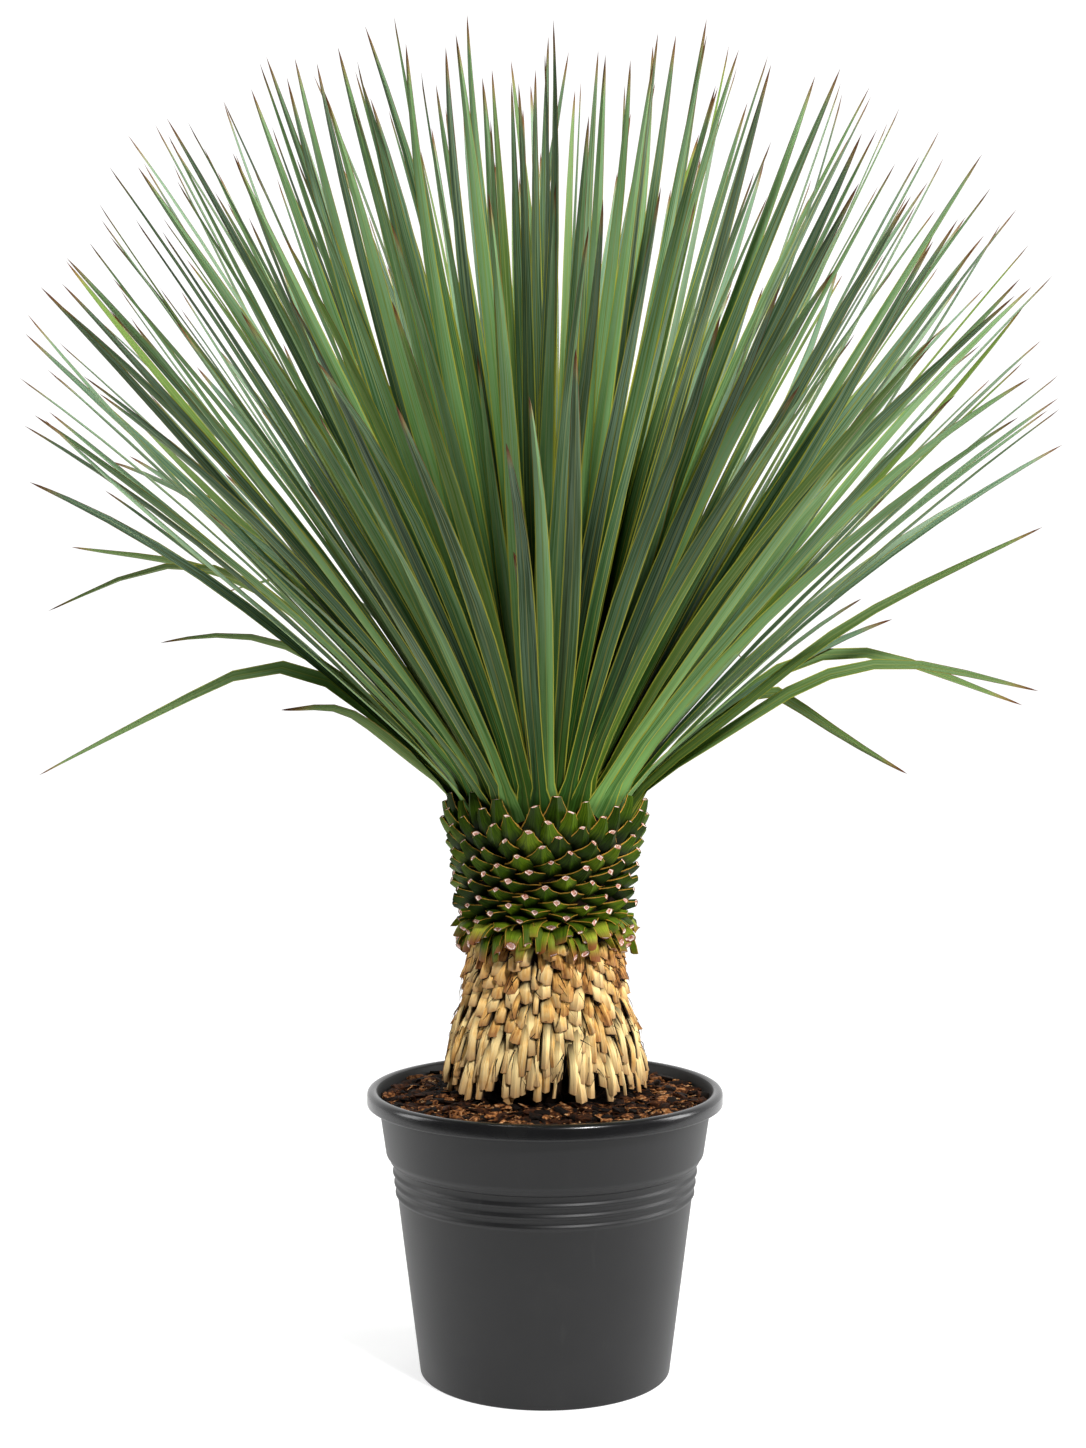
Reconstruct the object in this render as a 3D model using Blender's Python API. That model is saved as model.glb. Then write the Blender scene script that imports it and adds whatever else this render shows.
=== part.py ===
"""A yucca with a trimmed trunk, growing in a black nursery pot. Metres, +Z up, origin under the pot's foot.

The pot, the potting mix, the dry lower trunk, the green collar of cut leaf bases and the head of leaves
are one object each. The leaves and the cut leaf bases follow the spiral that a yucca grows in.
"""

import math
import random

import bmesh
import bpy
from mathutils import Matrix, Vector

# The pot
POT_HEIGHT = 0.240
LIP_RADIUS = 0.150
LIP_DEPTH = 0.0115
LIP_WIDTH = 0.0075
LIP_ROUND = 0.002
BAND_RADIUS = 0.1405
BAND_FOOT_RADIUS = 0.1343
BAND_FOOT_HEIGHT = 0.1850
STEP_RADIUS = 0.1293
STEP_HEIGHT = 0.1780
RIB_HEIGHTS = (0.1700, 0.1610, 0.1522)
RIB_REACH = 0.0016
RIB_HALF_WIDTH = 0.0036
FOOT_RADIUS = 0.1056
FOOT_BEVEL = 0.0015
FOOT_RING_WIDTH = 0.012
BASE_DISC_RADIUS = 0.060
RECESS_HEIGHT = 0.004
RECESS_SLOPE = 0.003
WALL = 0.0024
POT_SIDES = 32
DRAIN_HOLES = 8
DRAIN_RADIUS = 0.007
DRAIN_CIRCLE_RADIUS = 0.078

# The potting mix
GAP = 0.0004
TRUNK_GAP = 0.0008
SOIL_WALL_HEIGHT = 0.2285
SOIL_TRUNK_HEIGHT = 0.2390
SOIL_HOLE_TOP = 0.2380
SOIL_RINGS = 4
SOIL_LUMP = 0.0016
SOIL_SEED = 5

# The trunk below the leaves: (height, radius) of its woody core and of the outside of the cut leaf bases
ROOT_FOOT_HEIGHT = 0.120
ROOT_FOOT_RADIUS = 0.036
DRY_TOP_HEIGHT = 0.3620
DRY_CORE = ((0.2380, 0.0640), (0.2500, 0.0790), (0.2650, 0.0785), (0.2940, 0.0755), (0.3090, 0.0675),
            (0.3350, 0.0655), (0.3550, 0.0620), (DRY_TOP_HEIGHT, 0.0605))
DRY_SKIN = ((0.2400, 0.0890), (0.2670, 0.0855), (0.2940, 0.0820), (0.3010, 0.0795), (0.3070, 0.0750),
            (0.3140, 0.0720), (0.3350, 0.0715), (0.3550, 0.0675))
GREEN_TOP_HEIGHT = 0.4825
GREEN_CORE = ((DRY_TOP_HEIGHT + GAP, 0.0600), (0.4000, 0.0640), (0.4400, 0.0670), (GREEN_TOP_HEIGHT, 0.0690))
CORE_SIDES = 22

# Each turn of the spiral that every leaf of a yucca starts from
GOLDEN_ANGLE = math.radians(137.508)

# The dry strips of the trunk: short ones above, long ragged ones in the skirt at the foot
DRY_SEED = 11
SHORT_STRIPS = 74
SHORT_TIP_HEIGHTS = (0.2820, 0.3530)
SHORT_STRIP_LENGTH = 0.0235
LONG_STRIPS = 44
LONG_TIP_HEIGHTS = (0.2425, 0.2680)
LONG_STRIP_LENGTH = 0.0400
HIGHEST_STRIP_ROOT = 0.3580
STRIP_WIDTH = 0.0135
STRIP_THICKNESS = 0.0036
STRIP_ROOT_DEPTH = 0.005

# The cut green leaf bases
GREEN_SEED = 23
GREEN_BASES = 98
GREEN_BASE_WIDTH = 0.0320
GREEN_TIP_WIDTH = 0.0075
GREEN_BASE_THICKNESS = 0.0120
GREEN_TIP_THICKNESS = 0.0040
GREEN_ROOT_DEPTH = 0.010
# (height of the tip, angle above the horizontal, how far the tip stands out from the axis)
GREEN_TIPS = ((0.3665, -42.0, 0.0660), (0.3760, -28.0, 0.0710), (0.3860, -8.0, 0.0730), (0.3980, 12.0, 0.0740),
              (0.4100, 22.0, 0.0765), (0.4300, 30.0, 0.0775), (0.4500, 38.0, 0.0810), (0.4680, 47.0, 0.0880),
              (0.4800, 57.0, 0.0880))

# The head of leaves
LEAF_SEED = 4
LEAF_COUNT = 362
CROWN_CENTRE_HEIGHT = 0.4175
CROWN_RADIUS = 0.1070
CROWN_SIDES = 24
CROWN_RINGS = 4
CROWN_RIM_HEIGHT = 0.4870
HEAD_BASE_HEIGHT = GREEN_TOP_HEIGHT + GAP
HEAD_BASE_RADIUS = 0.0720
LEAF_ROOT_DISTANCE = 0.101
LEAN_LOWEST = 48.0
# (lean at the root in degrees, length of the leaf)
LEAF_LENGTHS = ((0.0, 0.604), (22.0, 0.612), (30.0, 0.608), (40.0, 0.562), (44.0, 0.520), (48.0, 0.470))
LEAF_WIDTH = 0.0155
LEAF_NECK = 0.55
LEAF_KEEL = 0.0021
LEAF_STATIONS = (0.40, 0.76)
BENT_LEAF_STATIONS = (0.26, 0.40, 0.52, 0.65, 0.82)
SPINE_STEPS = 50
# Old leaves that have folded over: azimuth, lean at the root, lean, arch, fold, where it starts, its span, length,
# roll. Angles are in degrees.
BENT_LEAVES = (
    (170, 44, 42, 10, 60, 0.40, 0.50, 0.47, 28),
    (167, 44, 50, 8, 62, 0.25, 0.35, 0.46, -34),
    (181, 42, 42, 23, 31, 0.40, 0.60, 0.31, 20),
    (183, 46, 51, 1, 36, 0.55, 0.35, 0.18, 15),
    (155, 45, 46, 10, 28, 0.30, 0.55, 0.50, 24),
    (-7, 45, 48, 3, 59, 0.30, 0.50, 0.38, 26),
    (-14, 44, 58, 1, 44, 0.35, 0.50, 0.37, 32),
    (8, 44, 51, 0, 73, 0.40, 0.20, 0.30, -36),
    (-20, 45, 53, 0, 14, 0.35, 0.40, 0.41, 22),
    (62, 45, 48, 6, 58, 0.40, 0.40, 0.45, 25),
    (98, 45, 50, 6, 66, 0.30, 0.45, 0.43, -28),
    (128, 45, 47, 9, 44, 0.40, 0.50, 0.48, 24),
)

SHARP_ANGLE = math.radians(35)

BLACK_PLASTIC = ("black_plastic", (0.035, 0.035, 0.037), 0.45)
PEAT = ("peat", (0.045, 0.025, 0.013), 0.95)
DRY_STRAW = ("dry_straw", (0.52, 0.36, 0.18), 0.85)
GREEN_SHEATH = ("green_sheath", (0.07, 0.14, 0.03), 0.50)
GREEN_LEAF = ("green_leaf", (0.10, 0.22, 0.10), 0.45)


def clear_scene():
    for obj in list(bpy.data.objects):
        bpy.data.objects.remove(obj)


def material(finish):
    name, colour, roughness = finish
    made = bpy.data.materials.new(name)
    made.use_nodes = True
    shader = made.node_tree.nodes["Principled BSDF"]
    shader.inputs["Base Color"].default_value = (*colour, 1.0)
    shader.inputs["Roughness"].default_value = roughness
    shader.inputs["Metallic"].default_value = 0.0
    return made


def object_from(bm, name, collection=None):
    mesh = bpy.data.meshes.new(name)
    bm.to_mesh(mesh)
    bm.free()
    mesh.shade_smooth()
    mesh.set_sharp_from_angle(angle=SHARP_ANGLE)
    made = bpy.data.objects.new(name, mesh)
    (collection or bpy.context.scene.collection).objects.link(made)
    return made


def read_off(table, height):
    """The values beside a height in a table of (height, value, ...) rows, joined by straight lines."""
    if height <= table[0][0]:
        return table[0][1:]
    for low, high in zip(table, table[1:]):
        if height <= high[0]:
            share = (height - low[0]) / (high[0] - low[0])
            return tuple(a + (b - a) * share for a, b in zip(low[1:], high[1:]))
    return table[-1][1:]


def turned(profile, sides):
    """A closed solid turned about the Z axis from (radius, height) points that start and end on the axis."""
    bm = bmesh.new()
    points = [bm.verts.new((radius, 0.0, height)) for radius, height in profile]
    edges = [bm.edges.new(pair) for pair in zip(points, points[1:])]
    bmesh.ops.spin(bm, geom=points + edges, axis=(0, 0, 1), cent=(0, 0, 0), angle=math.tau,
                   steps=sides, use_merge=True)
    bmesh.ops.remove_doubles(bm, verts=bm.verts, dist=1e-6)
    bmesh.ops.recalc_face_normals(bm, faces=bm.faces)
    return bm


def wall_radius(height):
    """The radius of the pot's straight lower wall at a height."""
    share = height / STEP_HEIGHT
    return FOOT_RADIUS + (STEP_RADIUS - FOOT_RADIUS) * share


def pot_inside():
    """The (radius, height) points of the pot's inner face, from the middle of its floor to its mouth."""
    floor = RECESS_HEIGHT + WALL
    return [
        (0.0, WALL),
        (BASE_DISC_RADIUS, WALL),
        (BASE_DISC_RADIUS + RECESS_SLOPE, floor),
        (wall_radius(floor) - WALL, floor),
        (STEP_RADIUS - WALL, STEP_HEIGHT),
        (BAND_FOOT_RADIUS - WALL, BAND_FOOT_HEIGHT + WALL),
        (BAND_RADIUS - WALL, POT_HEIGHT - LIP_DEPTH),
        (LIP_RADIUS - LIP_WIDTH, POT_HEIGHT),
    ]


def pot_outside():
    """The (radius, height) points of the pot's outer face, from its lip down and in to the middle of its base."""
    lip_foot = POT_HEIGHT - LIP_DEPTH
    points = [
        (LIP_RADIUS - LIP_ROUND, POT_HEIGHT),
        (LIP_RADIUS, POT_HEIGHT - LIP_ROUND),
        (LIP_RADIUS - 0.0012, lip_foot),
        (BAND_RADIUS, lip_foot),
        (BAND_FOOT_RADIUS, BAND_FOOT_HEIGHT),
        (BAND_FOOT_RADIUS - 0.0014, BAND_FOOT_HEIGHT - 0.0038),
        (STEP_RADIUS, STEP_HEIGHT),
    ]
    for height in RIB_HEIGHTS:
        points.append((wall_radius(height + RIB_HALF_WIDTH), height + RIB_HALF_WIDTH))
        points.append((wall_radius(height) + RIB_REACH, height))
    lowest_rib = RIB_HEIGHTS[-1] - RIB_HALF_WIDTH
    points += [
        (wall_radius(lowest_rib), lowest_rib),
        (wall_radius(FOOT_BEVEL), FOOT_BEVEL),
        (FOOT_RADIUS - FOOT_BEVEL, 0.0),
        (FOOT_RADIUS - FOOT_RING_WIDTH, 0.0),
        (FOOT_RADIUS - FOOT_RING_WIDTH - RECESS_SLOPE, RECESS_HEIGHT),
        (BASE_DISC_RADIUS + RECESS_SLOPE, RECESS_HEIGHT),
        (BASE_DISC_RADIUS, 0.0),
        (0.0, 0.0),
    ]
    return points


def make_pot():
    pot = object_from(turned(pot_inside() + pot_outside(), POT_SIDES), "pot")
    bm = bmesh.new()
    for number in range(DRAIN_HOLES):
        turn = Matrix.Rotation(math.tau * (number + 0.5) / DRAIN_HOLES, 4, "Z")
        place = Matrix.Translation((DRAIN_CIRCLE_RADIUS, 0.0, RECESS_HEIGHT + WALL / 2))
        bmesh.ops.create_cone(bm, cap_ends=True, segments=8, radius1=DRAIN_RADIUS, radius2=DRAIN_RADIUS,
                              depth=6 * WALL, matrix=turn @ place)
    cutter = object_from(bm, "drain_cutter")
    cutter.hide_render = True
    cutter.display_type = "WIRE"
    holes = pot.modifiers.new("drain_holes", "BOOLEAN")
    holes.operation = "DIFFERENCE"
    holes.object = cutter
    pot.data.materials.append(material(BLACK_PLASTIC))
    return pot


def dry_core_radius(height):
    """The radius of the trunk's woody core, which narrows to a blunt foot inside the potting mix."""
    return read_off(((ROOT_FOOT_HEIGHT, ROOT_FOOT_RADIUS), *DRY_CORE), height)[0]


def make_soil():
    """The potting mix: it fills the pot, heaps up gently to the trunk and has a plain hole for the trunk's foot."""
    draw = random.Random(SOIL_SEED)
    inside = pot_inside()
    side = [(radius - GAP, height + GAP) for radius, height in inside[1:4]]
    side += [(radius - GAP, height) for radius, height in inside[4:7]]
    side[-1] = (side[-1][0], SOIL_WALL_HEIGHT)
    hole = dry_core_radius(SOIL_HOLE_TOP) + TRUNK_GAP
    top = []
    for step in range(1, SOIL_RINGS):
        share = step / SOIL_RINGS
        radius = side[-1][0] + (hole - side[-1][0]) * share
        top.append((radius, SOIL_WALL_HEIGHT + (SOIL_TRUNK_HEIGHT - SOIL_WALL_HEIGHT) * share))
    profile = [(0.0, WALL + GAP), *side, *top, (hole, SOIL_HOLE_TOP)]
    profile.append((ROOT_FOOT_RADIUS + TRUNK_GAP, ROOT_FOOT_HEIGHT - TRUNK_GAP))
    profile.append((0.0, ROOT_FOOT_HEIGHT - TRUNK_GAP))
    bm = turned(profile, POT_SIDES)
    for vert in bm.verts:
        reach = math.hypot(vert.co.x, vert.co.y)
        if vert.co.z > SOIL_WALL_HEIGHT + 0.001 and reach > hole + 0.002:
            vert.co.z += draw.uniform(-SOIL_LUMP, SOIL_LUMP)
    soil = object_from(bm, "soil")
    soil.data.materials.append(material(PEAT))
    return soil


def biggest_body(bm):
    """Keeps the largest closed shell of a mesh: sealed hollows are filled and loose scraps are dropped."""
    left = set(bm.faces)
    shells = []
    while left:
        found = [left.pop()]
        for face in found:
            for edge in face.edges:
                for other in edge.link_faces:
                    if other in left:
                        left.discard(other)
                        found.append(other)
        volume = 0.0
        for face in found:
            a, b, c = (vert.co for vert in face.verts)
            volume += a.dot(b.cross(c)) / 6
        shells.append((volume, found))
    shells.sort(key=lambda shell: shell[0])
    spare = [face for _, faces in shells[:-1] for face in faces]
    bmesh.ops.delete(bm, geom=spare, context="FACES")
    return len(shells) - 1


def fused(core, repeats, name, finish):
    """One solid of a core and the repeats that grow from it."""
    join = core.modifiers.new("grown_together", "BOOLEAN")
    join.operation = "UNION"
    join.operand_type = "COLLECTION"
    join.collection = repeats
    join.solver = "MANIFOLD"
    bpy.context.view_layer.update()
    graph = bpy.context.evaluated_depsgraph_get()
    bm = bmesh.new()
    bm.from_mesh(core.evaluated_get(graph).to_mesh())
    bmesh.ops.triangulate(bm, faces=bm.faces)
    dropped = biggest_body(bm)
    for obj in list(repeats.objects):
        bpy.data.objects.remove(obj)
    bpy.data.collections.remove(repeats)
    bpy.data.objects.remove(core)
    print(name, len(bm.faces), "faces,", dropped, "hollows and scraps dropped")
    made = object_from(bm, name)
    made.data.materials.append(material(finish))
    return made


def new_collection(name):
    made = bpy.data.collections.new(name)
    bpy.context.scene.collection.children.link(made)
    return made


def outward(azimuth, elevation=0.0):
    """The unit direction at an angle round the trunk and an angle above the horizontal."""
    level = math.cos(elevation)
    return Vector((level * math.cos(azimuth), level * math.sin(azimuth), math.sin(elevation)))


def tapered_bar(root, tip, side, root_size, tip_size):
    """A bar with four sides from root to tip. side points along its width, and a size is (width, thickness)."""
    bm = bmesh.new()
    bmesh.ops.create_cube(bm, size=1.0)
    along = (tip - root).normalized()
    side = (side - along * side.dot(along)).normalized()
    up = along.cross(side)
    for vert in bm.verts:
        centre, size = (tip, tip_size) if vert.co.z > 0 else (root, root_size)
        vert.co = centre + side * vert.co.x * size[0] + up * vert.co.y * size[1]
    return bm


def dry_strip(draw, azimuth, tip_height, length, name, collection):
    """One dry leaf base. It starts inside the trunk, hangs down over the trunk's face and ends in a square cut."""
    root_height = min(tip_height + length * draw.uniform(0.85, 1.15), HIGHEST_STRIP_ROOT)
    root_radius = read_off(DRY_CORE, root_height)[0] - STRIP_ROOT_DEPTH
    tip_radius = read_off(DRY_SKIN, tip_height)[0] - STRIP_THICKNESS / 2 + draw.uniform(-0.0020, 0.0005)
    root = outward(azimuth) * root_radius + Vector((0, 0, root_height))
    tip = outward(azimuth + draw.uniform(-0.02, 0.10)) * tip_radius + Vector((0, 0, tip_height))
    side = outward(azimuth + math.pi / 2)
    width = STRIP_WIDTH * draw.uniform(0.85, 1.12)
    bm = tapered_bar(root, tip, side, (width * 1.1, STRIP_THICKNESS), (width, STRIP_THICKNESS))
    return object_from(bm, name, collection)


def make_dry_trunk():
    draw = random.Random(DRY_SEED)
    profile = [(0.0, ROOT_FOOT_HEIGHT), (ROOT_FOOT_RADIUS, ROOT_FOOT_HEIGHT)]
    profile += [(radius, height) for height, radius in DRY_CORE]
    profile += [(0.0, DRY_TOP_HEIGHT)]
    core = object_from(turned(profile, CORE_SIDES), "dry_core")
    strips = new_collection("dry_strips")
    groups = (
        (SHORT_STRIPS, SHORT_TIP_HEIGHTS, SHORT_STRIP_LENGTH, "short"),
        (LONG_STRIPS, LONG_TIP_HEIGHTS, LONG_STRIP_LENGTH, "long"),
    )
    for count, (low, high), length, name in groups:
        for number in range(count):
            height = low + (high - low) * (number + 0.5) / count
            dry_strip(draw, -number * GOLDEN_ANGLE, height, length, f"{name}_strip_{number}", strips)
    return fused(core, strips, "trunk_dry", DRY_STRAW)


def make_green_collar():
    draw = random.Random(GREEN_SEED)
    profile = [(0.0, GREEN_CORE[0][0])]
    profile += [(radius, height) for height, radius in GREEN_CORE]
    profile += [(0.0, GREEN_TOP_HEIGHT)]
    core = object_from(turned(profile, CORE_SIDES), "green_core")
    bases = new_collection("green_bases")
    low, high = GREEN_TIPS[0][0], GREEN_TIPS[-1][0]
    for number in range(GREEN_BASES):
        height = low + (high - low) * (number + 0.5) / GREEN_BASES
        azimuth = -number * GOLDEN_ANGLE + draw.uniform(-0.03, 0.03)
        lift, reach = read_off(GREEN_TIPS, height)
        lift = math.radians(lift + draw.uniform(-4.0, 4.0))
        reach += draw.uniform(-0.0025, 0.001)
        tip = outward(azimuth) * reach + Vector((0, 0, height))
        root_radius = read_off(GREEN_CORE, height)[0] - GREEN_ROOT_DEPTH
        root = tip - outward(azimuth, lift) * (reach - root_radius) / math.cos(lift)
        side = outward(azimuth + math.pi / 2)
        bm = tapered_bar(root, tip, side, (GREEN_BASE_WIDTH, GREEN_BASE_THICKNESS),
                         (GREEN_TIP_WIDTH * draw.uniform(0.9, 1.15), GREEN_TIP_THICKNESS))
        object_from(bm, f"green_base_{number}", bases)
    return fused(core, bases, "green_collar", GREEN_SHEATH)


def smooth_step(value):
    value = min(max(value, 0.0), 1.0)
    return value * value * (3 - 2 * value)


def leaf_facts():
    """How each leaf grows, the youngest first. Its angle round the plant and its lean from the vertical place its
    root. lean, arch and fold then shape it: it arches all along and folds from the share fold_at of its length."""
    draw = random.Random(LEAF_SEED)
    facts = []
    for number in range(LEAF_COUNT):
        share = (number + 0.5) / LEAF_COUNT
        lean = LEAN_LOWEST * share ** 0.52
        length = read_off(LEAF_LENGTHS, lean)[0]
        leaf = {
            "azimuth": math.degrees(number * GOLDEN_ANGLE) + draw.uniform(-0.7, 0.7),
            "root_lean": 0.97 * lean,
            "lean": lean - 3.0 * share ** 2 + draw.uniform(-1.2, 1.2),
            "arch": 1.5 + 15.0 * share ** 2 + draw.uniform(-1.5, 2.0),
            "sway": draw.uniform(-1.6, 1.6) * share,
            "fold": 0.0,
            "fold_at": 1.0,
            "fold_span": 1.0,
            "length": length * (1.02 - 0.10 * draw.random() ** 2),
            "width": LEAF_WIDTH * draw.uniform(0.86, 1.06),
            "roll": draw.uniform(-14.0, 14.0),
        }
        if draw.random() < 0.05:
            leaf["length"] *= draw.uniform(0.55, 0.85)
        facts.append(leaf)
    names = ("azimuth", "root_lean", "lean", "arch", "fold", "fold_at", "fold_span", "length", "roll")
    for place, values in enumerate(BENT_LEAVES):
        facts[LEAF_COUNT - 1 - 2 * place].update(zip(names, values))
    for leaf in facts:
        for name in ("azimuth", "root_lean", "lean", "arch", "sway", "fold", "roll"):
            leaf[name] = math.radians(leaf[name])
    return facts


def leaf_spine(leaf):
    """Points from the leaf's root to its tip, and the (azimuth, lean) of the leaf at each of them."""
    point = Vector((0, 0, CROWN_CENTRE_HEIGHT)) + LEAF_ROOT_DISTANCE * outward(
        leaf["azimuth"], math.pi / 2 - leaf["root_lean"])
    points, turns = [point.copy()], []
    for step in range(SPINE_STEPS + 1):
        share = (step + 0.5) / SPINE_STEPS
        lean = leaf["lean"] + leaf["arch"] * share
        lean += leaf["fold"] * smooth_step((share - leaf["fold_at"]) / leaf["fold_span"])
        azimuth = leaf["azimuth"] + leaf["sway"] * share
        turns.append((azimuth, lean))
        if step < SPINE_STEPS:
            point = point + outward(azimuth, math.pi / 2 - lean) * leaf["length"] / SPINE_STEPS
            points.append(point)
    return points, turns


def leaf_width(share):
    """How wide a leaf is, as a share of its widest, from its root (0) to its tip (1)."""
    neck = LEAF_NECK + (1.0 - LEAF_NECK) * smooth_step(share / 0.35)
    return neck * min(1.0, (1.0 - share) / 0.45) ** 0.75


def blade(leaf, name, collection):
    """One leaf: three-sided, flat on top with a keel below, from its root inside the crown to its sharp tip."""
    points, turns = leaf_spine(leaf)
    bm = bmesh.new()
    bmesh.ops.create_cone(bm, cap_ends=True, segments=3, radius1=1.0, radius2=0.0, depth=1.0,
                          matrix=Matrix.Translation((0, 0, 0.5)))
    for share in BENT_LEAF_STATIONS if leaf["fold"] else LEAF_STATIONS:
        bmesh.ops.bisect_plane(bm, geom=[*bm.verts, *bm.edges, *bm.faces], plane_co=(0, 0, share),
                               plane_no=(0, 0, 1))
    for vert in bm.verts:
        share = min(max(vert.co.z, 0.0), 1.0)
        step = round(share * SPINE_STEPS)
        azimuth, lean = turns[step]
        along = outward(azimuth, math.pi / 2 - lean)
        side = Matrix.Rotation(leaf["roll"], 3, along) @ outward(azimuth - math.pi / 2)
        under = along.cross(side)
        corner = vert.co.xy / max(1.0 - share, 1e-6)
        if share > 0.999:
            vert.co = points[-1]
            continue
        width = leaf["width"] * leaf_width(share)
        keel = LEAF_KEEL * (0.55 + 0.45 * leaf_width(share))
        vert.co = (points[step] + side * corner.x / math.sqrt(3) * width
                   + under * (corner.y + 0.5) / 1.5 * keel)
    return object_from(bm, name, collection)


def make_leaf_head():
    profile = [(0.0, HEAD_BASE_HEIGHT), (HEAD_BASE_RADIUS, HEAD_BASE_HEIGHT)]
    start = math.acos((CROWN_RIM_HEIGHT - CROWN_CENTRE_HEIGHT) / CROWN_RADIUS)
    for ring in range(CROWN_RINGS):
        lean = start * (1 - ring / CROWN_RINGS)
        profile.append((CROWN_RADIUS * math.sin(lean), CROWN_CENTRE_HEIGHT + CROWN_RADIUS * math.cos(lean)))
    profile.append((0.0, CROWN_CENTRE_HEIGHT + CROWN_RADIUS))
    core = object_from(turned(profile, CROWN_SIDES), "crown")
    blades = new_collection("blades")
    for number, leaf in enumerate(leaf_facts()):
        blade(leaf, f"leaf_{number}", blades)
    return fused(core, blades, "leaf_head", GREEN_LEAF)


clear_scene()
make_pot()
make_soil()
make_dry_trunk()
make_green_collar()
make_leaf_head()
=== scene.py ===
# %% [markdown]
# # A potted yucca
#
# The frame gives five plain solids: a pot, its potting mix, a dry trunk, a green collar and a head of leaves.
# This notebook dresses them. Each solid is replaced by finer pieces that keep its form, because what the eye
# enjoys on a yucca is small and repeated: hundreds of blades, cut leaf bases and straw strips, each a little
# different. One blank shape is made for each kind, and a seeded draw bends, rolls and tints every copy.

# %% Load the frame
import math
import random

import bmesh
import bpy
from mathutils import Matrix, Vector, noise


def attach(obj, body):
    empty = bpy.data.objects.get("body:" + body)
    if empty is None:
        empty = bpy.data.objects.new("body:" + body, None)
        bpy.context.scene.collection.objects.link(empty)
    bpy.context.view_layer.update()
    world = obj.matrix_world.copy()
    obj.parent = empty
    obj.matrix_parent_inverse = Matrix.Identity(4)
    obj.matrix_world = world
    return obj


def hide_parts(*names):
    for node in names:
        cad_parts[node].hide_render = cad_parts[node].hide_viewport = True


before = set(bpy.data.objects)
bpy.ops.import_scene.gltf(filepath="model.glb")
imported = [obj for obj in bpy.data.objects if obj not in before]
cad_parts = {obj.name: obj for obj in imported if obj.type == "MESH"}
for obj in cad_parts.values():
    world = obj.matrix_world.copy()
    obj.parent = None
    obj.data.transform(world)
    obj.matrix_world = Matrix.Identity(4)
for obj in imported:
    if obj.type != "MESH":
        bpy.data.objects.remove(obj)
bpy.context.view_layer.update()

# %% [markdown]
# ## The studio
#
# The plant stands on a white sweep, as in a nursery's catalogue. The picture is level and taken from a little
# above the trunk, so the camera looks straight ahead and its frame is shifted down, which keeps the sides of
# the pot upright. The world is white behind the plant. In front it is nearly dark, and the sweep ends a short
# way before the pot: that dark room is what keeps the black pot black and the gaps between the leaves deep.
# Tall softboxes at the sides edge the pot, one overhead lifts the leaves, and a small bright one in front,
# the key, gives each leaf a lit side and a shaded one.

# %% A camera at the height of the leaves
PHOTO_HEIGHT = 1448
FOCAL_PIXELS = 2105
SENSOR = 36.0
CAMERA_PLACE = (-0.0017, -1.80, 0.607)
FRAME_SHIFT = -67 / PHOTO_HEIGHT


def put_into_scene(name, data):
    """An object for some data, in the scene."""
    made = bpy.data.objects.new(name, data)
    bpy.context.scene.collection.objects.link(made)
    return made


def mesh_from(bm, name):
    """A mesh with what a bmesh holds. The bmesh is freed."""
    mesh = bpy.data.meshes.new(name)
    bm.to_mesh(mesh)
    bm.free()
    return mesh


lens = bpy.data.cameras.new("camera")
lens.sensor_width = SENSOR
lens.lens = SENSOR * FOCAL_PIXELS / PHOTO_HEIGHT
lens.shift_y = FRAME_SHIFT
camera = put_into_scene("camera", lens)
camera.location = CAMERA_PLACE
camera.rotation_euler = (math.radians(90), 0, 0)
bpy.context.scene.camera = camera
bpy.context.scene.view_settings.view_transform = "Standard"
print("lens of", round(lens.lens, 1), "mm")

# %% Colours and shader nodes


def colour(code):
    """A linear colour from a six-figure sRGB code."""
    channels = [int(code[place:place + 2], 16) / 255 for place in (1, 3, 5)]
    linear = [c / 12.92 if c <= 0.04045 else ((c + 0.055) / 1.055) ** 2.4 for c in channels]
    return (*linear, 1.0)


def feed(tree, node, inputs):
    """Gives inputs of a node their values. A socket is linked, and so is a node's first live output."""
    for name, value in inputs.items():
        if isinstance(value, bpy.types.Node):
            value = next(output for output in value.outputs if output.enabled)
        if isinstance(value, bpy.types.NodeSocket):
            tree.links.new(value, node.inputs[name])
        else:
            node.inputs[name].default_value = value


def add(tree, kind, inputs=None, stops=(), **settings):
    """A shader node with its settings and its inputs. Stops of (place, code) fill a colour ramp."""
    made = tree.nodes.new("ShaderNode" + kind)
    for name, value in settings.items():
        setattr(made, name, value)
    feed(tree, made, inputs or {})
    if stops:
        elements = made.color_ramp.elements
        for end in (0, -1):
            elements[end].position, elements[end].color = stops[end][0], colour(stops[end][1])
        for place, code in stops[1:-1]:
            elements.new(place).color = colour(code)
    return made


def new_finish(name):
    """A material and its node tree."""
    made = bpy.data.materials.new(name)
    made.use_nodes = True
    return made, made.node_tree


def set_shader(tree, base, rough, shine, bump=None, more=None):
    """Feeds the shader of a tree. A bump is the height it follows, its strength and its depth in metres."""
    inputs = {"Base Color": base, "Roughness": rough, "Specular IOR Level": shine, **(more or {})}
    if bump:
        height, strength, depth = bump
        inputs["Normal"] = add(tree, "Bump", {"Height": height, "Strength": strength, "Distance": depth})
    feed(tree, tree.nodes["Principled BSDF"], inputs)


# %% World, lamps and floor
WHITE_BEHIND = 1.12
GREY_IN_FRONT = 0.03
WHITENING = (0.05, 0.70)     # how far ahead a direction points where the world starts and ends to whiten
LAMPS_AIM = Vector((0, 0, 0.50))
FLOOR_RADIUS = 1.5
FLOOR_GLOW = 0.66
FLOOR_MIDDLE = (0.0, 0.88, 0.0)
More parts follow.
